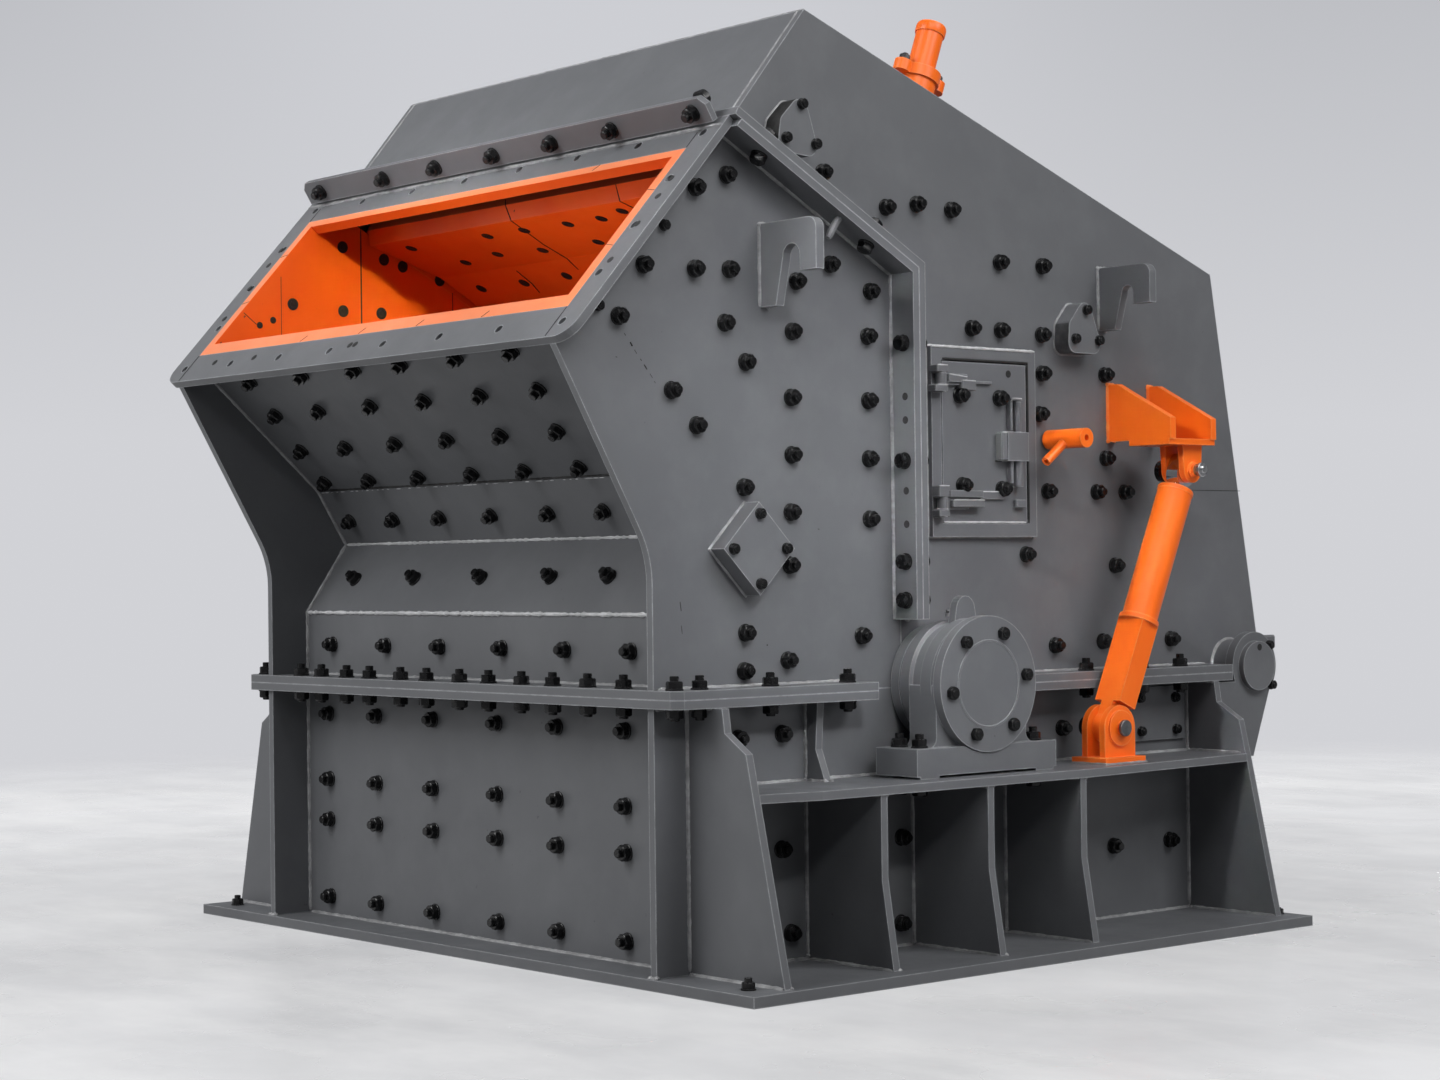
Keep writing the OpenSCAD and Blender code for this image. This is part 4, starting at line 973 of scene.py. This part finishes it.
# ---------------------------------------------------------------- inside the feed opening
FEED_PLUGS = [(-710, 1780), (-865, 1620), (-710, 1610), (-580, 1755), (-520, 1740), (-400, 1710),
              (-590, 1610)]
for y, z in FEED_PLUGS:
    body.fix(PLUG, (FEED_INNER, y, z), "gap", inward=True)
for y, z in ((-965, 1560), (-925, 1575)):
    body.fix(HOLE, (FEED_INNER, y, z), "gap", inward=True)
for side in BOTH:
    x = side * FEED_INNER
    for y, low, high, radius in ((-653, 1200, 1835, 2.0), (-358, 1250, 1678, 1.3), (-900, 1490, 1690, 1.0)):
        body.line([(x, y, low), (x, y, high)], radius)
    body.line([(x, -1012, 1590), (x, -975, 1562)], 1.6)

# Bolts and joints on the underside of the first impact plate
APRON_BOLTS = [(-615, -582, 1773), (-276, -577, 1771), (-533, -465, 1735), (-367, -480, 1740),
               (-122, -574, 1770), (-193, -464, 1734), (52, -568, 1768), (185, -567, 1768),
               (289, -585, 1773), (34, -460, 1733), (470, -570, 1769), (640, -580, 1772),
               (240, -470, 1737), (430, -462, 1734), (610, -468, 1736)]
for place in APRON_BOLTS:
    hood.bolt(place, (0, -0.31, -0.95), PLUG, "gap", reach=20)
for x, y, z in ((-632, -345, 1681), (-440, -342, 1680), (-250, -345, 1681), (-40, -345, 1681),
                (170, -345, 1681), (380, -345, 1681), (600, -345, 1681)):
    hood.bolt((x, y, z), (0, -0.5, -0.87), PLUG, "gap", reach=20)
for line in ([(-130, -625, 1843), (-115, -636, 1828), (-100, -630, 1788), (-119, -579, 1771.5),
              (-153, -490, 1743), (-170, -404, 1715), (-179, -361, 1690)],
             [(-66, -622, 1846), (-82, -634, 1808)],
             [(-410, -389, 1706), (-413, -338, 1677), (-428, -300, 1655)],
             [(330, -636, 1828), (338, -630, 1788), (345, -404, 1715)]):
    hood.line(line, 1.8, 30)

# Seams between the strips of the feed liner, on the rim that looks out of the opening
for x, v in ((-289, 104), (-30, 104), (212, 104), (469, 104), (464, 580)):
    feed_seam((x - 8, v - 8), (x + 8, v + 10), 1.1)
for side in BOTH:
    for v in (281, 455):
        feed_seam((side * 779, v), (side * 751, v + 6), 1.1)


def side_plate(kit, outline, thick):
    """Orange plate on the inner faces of both side walls, with its outline as (y, z) points."""
    plate = Shape()
    prism(plate, outline, 0, thick, Matrix.Translation((0.5 - INNER, 0, 0)) @ SIDEWAYS)
    kit.both(plate, "liner")


def along_split(start, end, low, high):
    """Outline of a strip along the sloping split, between two distances below or above it."""
    a = go(SPLIT[0], slope, start)
    b = go(SPLIT[0], slope, end)
    return [go(p, slope + math.pi / 2, t) for p, t in ((a, low), (b, low), (b, high), (a, high))]


# Fillers between the housing's side liners and its split, and above the split in the hood
side_plate(body, along_split(135, 570, -33.5, -2), 28)
side_plate(body, [(-204, 1010), (-174, 1010), (-174, 1585), (-204, 1600)], 28)
side_plate(hood, along_split(135, 640, 2, 46), 18)

# Liner plates inside the hood's side walls, behind the housing's own, each with its bolts
HOOD_LINERS = [
    ([(-158, 1010), (150, 1010), (150, 1400), (-158, 1400)],
     ((-100, 1330), (90, 1330), (-100, 1090), (90, 1090))),
    ([(-158, 1404), (395, 1404), (395, 1435), (300, 1500), (-158, 1585)],
     ((-100, 1530), (60, 1500), (240, 1455))),
    ([(154, 1010), (395, 1010), (395, 1400), (154, 1400)],
     ((215, 1330), (335, 1330), (215, 1090), (335, 1090))),
]
for outline, places in HOOD_LINERS:
    side_plate(hood, outline, 18)
    for y, z in places:
        hood.fix(PLUG, (INNER - 18.5, y, z), "gap", inward=True)

for name, kit in kits.items():
    for finish, shape in kit.parts.items():
        label, material, slot = FINISHES[finish]
        to_object(shape, f"{label}_{name}", name, material)


# ---------------------------------------------------------------- studio
def area_light(name, at, aim, size, power, spread=180):
    data = bpy.data.lights.new(name, "AREA")
    data.shape = "RECTANGLE"
    data.size = size[0]
    data.size_y = size[1]
    data.energy = power
    data.spread = math.radians(spread)
    lamp = new_object(name, data)
    lamp.location = at
    lamp.rotation_euler = (Vector(aim) - Vector(at)).to_track_quat("-Z", "Y").to_euler()
    lamp.visible_camera = False
    return lamp


area_light("Right", (5.6, 1.6, 5.6), (0.5, 0.2, 1.0), (3.2, 3.2), 258)
area_light("FrontTop", (-0.6, -4.8, 4.7), (-0.2, -0.9, 1.2), (3.0, 3.0), 210)
area_light("FrontLeft", (-4.5, -5.5, 2.2), (-0.5, -0.8, 0.9), (3.0, 2.6), 50)
area_light("Front", (-1.0, -7.0, 3.3), (-0.2, -0.8, 0.9), (3.6, 3.0), 42)
area_light("RightTop", (3.4, -1.6, 4.8), (0.8, -0.3, 1.0), (2.0, 2.0), 72)
area_light("RightFront", (5.0, -2.0, 3.8), (0.8, -0.4, 0.95), (0.6, 0.6), 1.9, spread=18)
area_light("Mouth", (3.6, -3.7, 3.5), (-0.4, -0.72, 1.68), (0.4, 0.4), 1.4, spread=10)
area_light("RamFront", (2.1, -5.4, 3.4), (0.95, 0.5, 0.92), (0.5, 0.5), 2.3, spread=15)
fills = [area_light("MouthInside", (0.2, -0.88, 1.38), (0.2, -0.45, 1.75), (0.9, 0.15), 0.8, spread=130),
         area_light("RightLow", (7.5, 2.0, 1.6), (0.8, 0.2, 1.0), (3.0, 2.5), 45),
         area_light("Back", (-2.5, 6.5, 4.5), (0, 0.6, 1.0), (3.6, 3.0), 250),
         area_light("Left", (-6.5, -0.5, 4.5), (-0.5, 0, 1.0), (3.6, 3.0), 200)]
for fill in fills:
    # Mirror images of these would lie as hard patches on floor and walls
    fill.visible_glossy = False

# Backdrop: paler low down and in a band across the middle, dimmer where it is mirrored
world = bpy.data.worlds.new("Studio")
bpy.context.scene.world = world
world.use_nodes = True
sky = Nodes(world.node_tree)
direction = sky.node("TexCoord").outputs["Generated"]
height = sky.node("SeparateXYZ", {0: direction}).outputs[2]
lift = sky.ramp(height, 0.05, 0.30)
aside = sky.math("ADD", sky.dot(direction, (0.647, 0.762, 0.0)), 0.04)
aside = sky.ramp(sky.math("ABSOLUTE", aside), 0.03, 0.25, curve="SMOOTHSTEP")
high = sky.mix(aside, rgb(0.59, 0.60, 0.64), rgb(0.43, 0.44, 0.47))
backdrop = sky.mix(lift, rgb(0.640, 0.645, 0.675), high)
seen = sky.node("Background", {"Color": backdrop, "Strength": 1.0}).outputs[0]
mirrored = sky.node("Background", {"Color": backdrop, "Strength": 0.35}).outputs[0]
ambient = sky.node("Background", {"Color": rgb(1.0), "Strength": 0.05}).outputs[0]
ray = sky.node("LightPath").outputs
shown = sky.math("MAXIMUM", ray["Is Camera Ray"], ray["Is Transmission Ray"])
unseen = sky.mix_shader(ray["Is Glossy Ray"], ambient, mirrored)
sky.node("OutputWorld", {0: sky.mix_shader(shown, unseen, seen)})

# Floor: pale, a little glossy, cloudy, fading into the backdrop far from the part
RADIUS = 10.0
turns = [2 * math.pi * k / 64 for k in range(64)]
floor = bpy.data.meshes.new("Floor")
floor.from_pydata([(RADIUS * math.cos(a), RADIUS * math.sin(a), 0) for a in turns], [], [tuple(range(64))])
new_object("Floor", floor)
ground = Paint("studio_floor")
cloud = ground.ramp(ground.noise(1.1, 6.0, 0.6), 0.38, 0.66)
streaks = ground.ramp(ground.noise(0.9, 8.0, 0.7, (1.0, 2.6, 1.0), (0, 0, 0.8)), 0.45, 0.68)
tone = ground.mix(cloud, rgb(0.205), rgb(0.25))
tone = ground.mix(ground.math("MULTIPLY", streaks, 0.6), tone, rgb(0.30))
gloss = ground.ramp(ground.noise(2.3, 4.0), 0.3, 0.7, 0.22, 0.38)
waves = ground.bump(ground.noise(14.0, 5.0), 0.08, 0.004)
surface = ground.node("BsdfPrincipled", {"Base Color": tone, "Roughness": gloss, "Normal": waves,
                                         "Specular IOR Level": 0.2}).outputs[0]
glow_tone = ground.mix(cloud, rgb(0.40, 0.403, 0.415), rgb(0.46, 0.463, 0.475))
glow_tone = ground.mix(ground.math("MULTIPLY", streaks, 0.5), glow_tone, rgb(0.50))
radius = ground.node("VectorMath", {0: ground.coords}, operation="LENGTH").outputs["Value"]
# The glow is weaker near the part and stronger far out: painted shade on the floor round the part
strength = ground.ramp(radius, 1.6, 3.6, 0.96, 1.18)
glow = ground.node("Emission", {"Color": glow_tone, "Strength": strength}).outputs[0]
nothing = ground.node("Emission", {"Color": rgb(0.0), "Strength": 0.0}).outputs[0]
ray = ground.node("LightPath").outputs
shown = ground.math("MAXIMUM", ray["Is Camera Ray"], ray["Is Glossy Ray"])
lifted = ground.mix_shader(shown, nothing, glow)
lit = ground.node("AddShader", {0: surface, 1: lifted}).outputs[0]
clear = ground.node("BsdfTransparent").outputs[0]
fade = ground.ramp(radius, 4.6, 8.0, curve="SMOOTHSTEP")
ground.node("OutputMaterial", {0: ground.mix_shader(fade, lit, clear)})
floor.materials.append(ground.mat)

# Camera: three-quarter view from the front right, nearly level
yaw = math.radians(49.66)
pitch = math.radians(-0.63)
roll = math.radians(-0.70)
back = Vector((math.sin(yaw) * math.cos(pitch), -math.cos(yaw) * math.cos(pitch), math.sin(pitch)))
level = Vector((math.cos(yaw), math.sin(yaw), 0))
upward = back.cross(level)
right = math.cos(roll) * level + math.sin(roll) * upward
up = math.cos(roll) * upward - math.sin(roll) * level
camera_data = bpy.data.cameras.new("Camera")
camera_data.lens = 68.25
camera_data.sensor_width = 36.0
camera_data.clip_end = 100.0
camera = new_object("Camera", camera_data)
axes = Matrix((right, up, back)).transposed().to_4x4()
camera.matrix_world = Matrix.Translation((5.4106, -4.6398, 0.9107)) @ axes
bpy.context.scene.camera = camera
bpy.context.scene.view_settings.view_transform = "Standard"
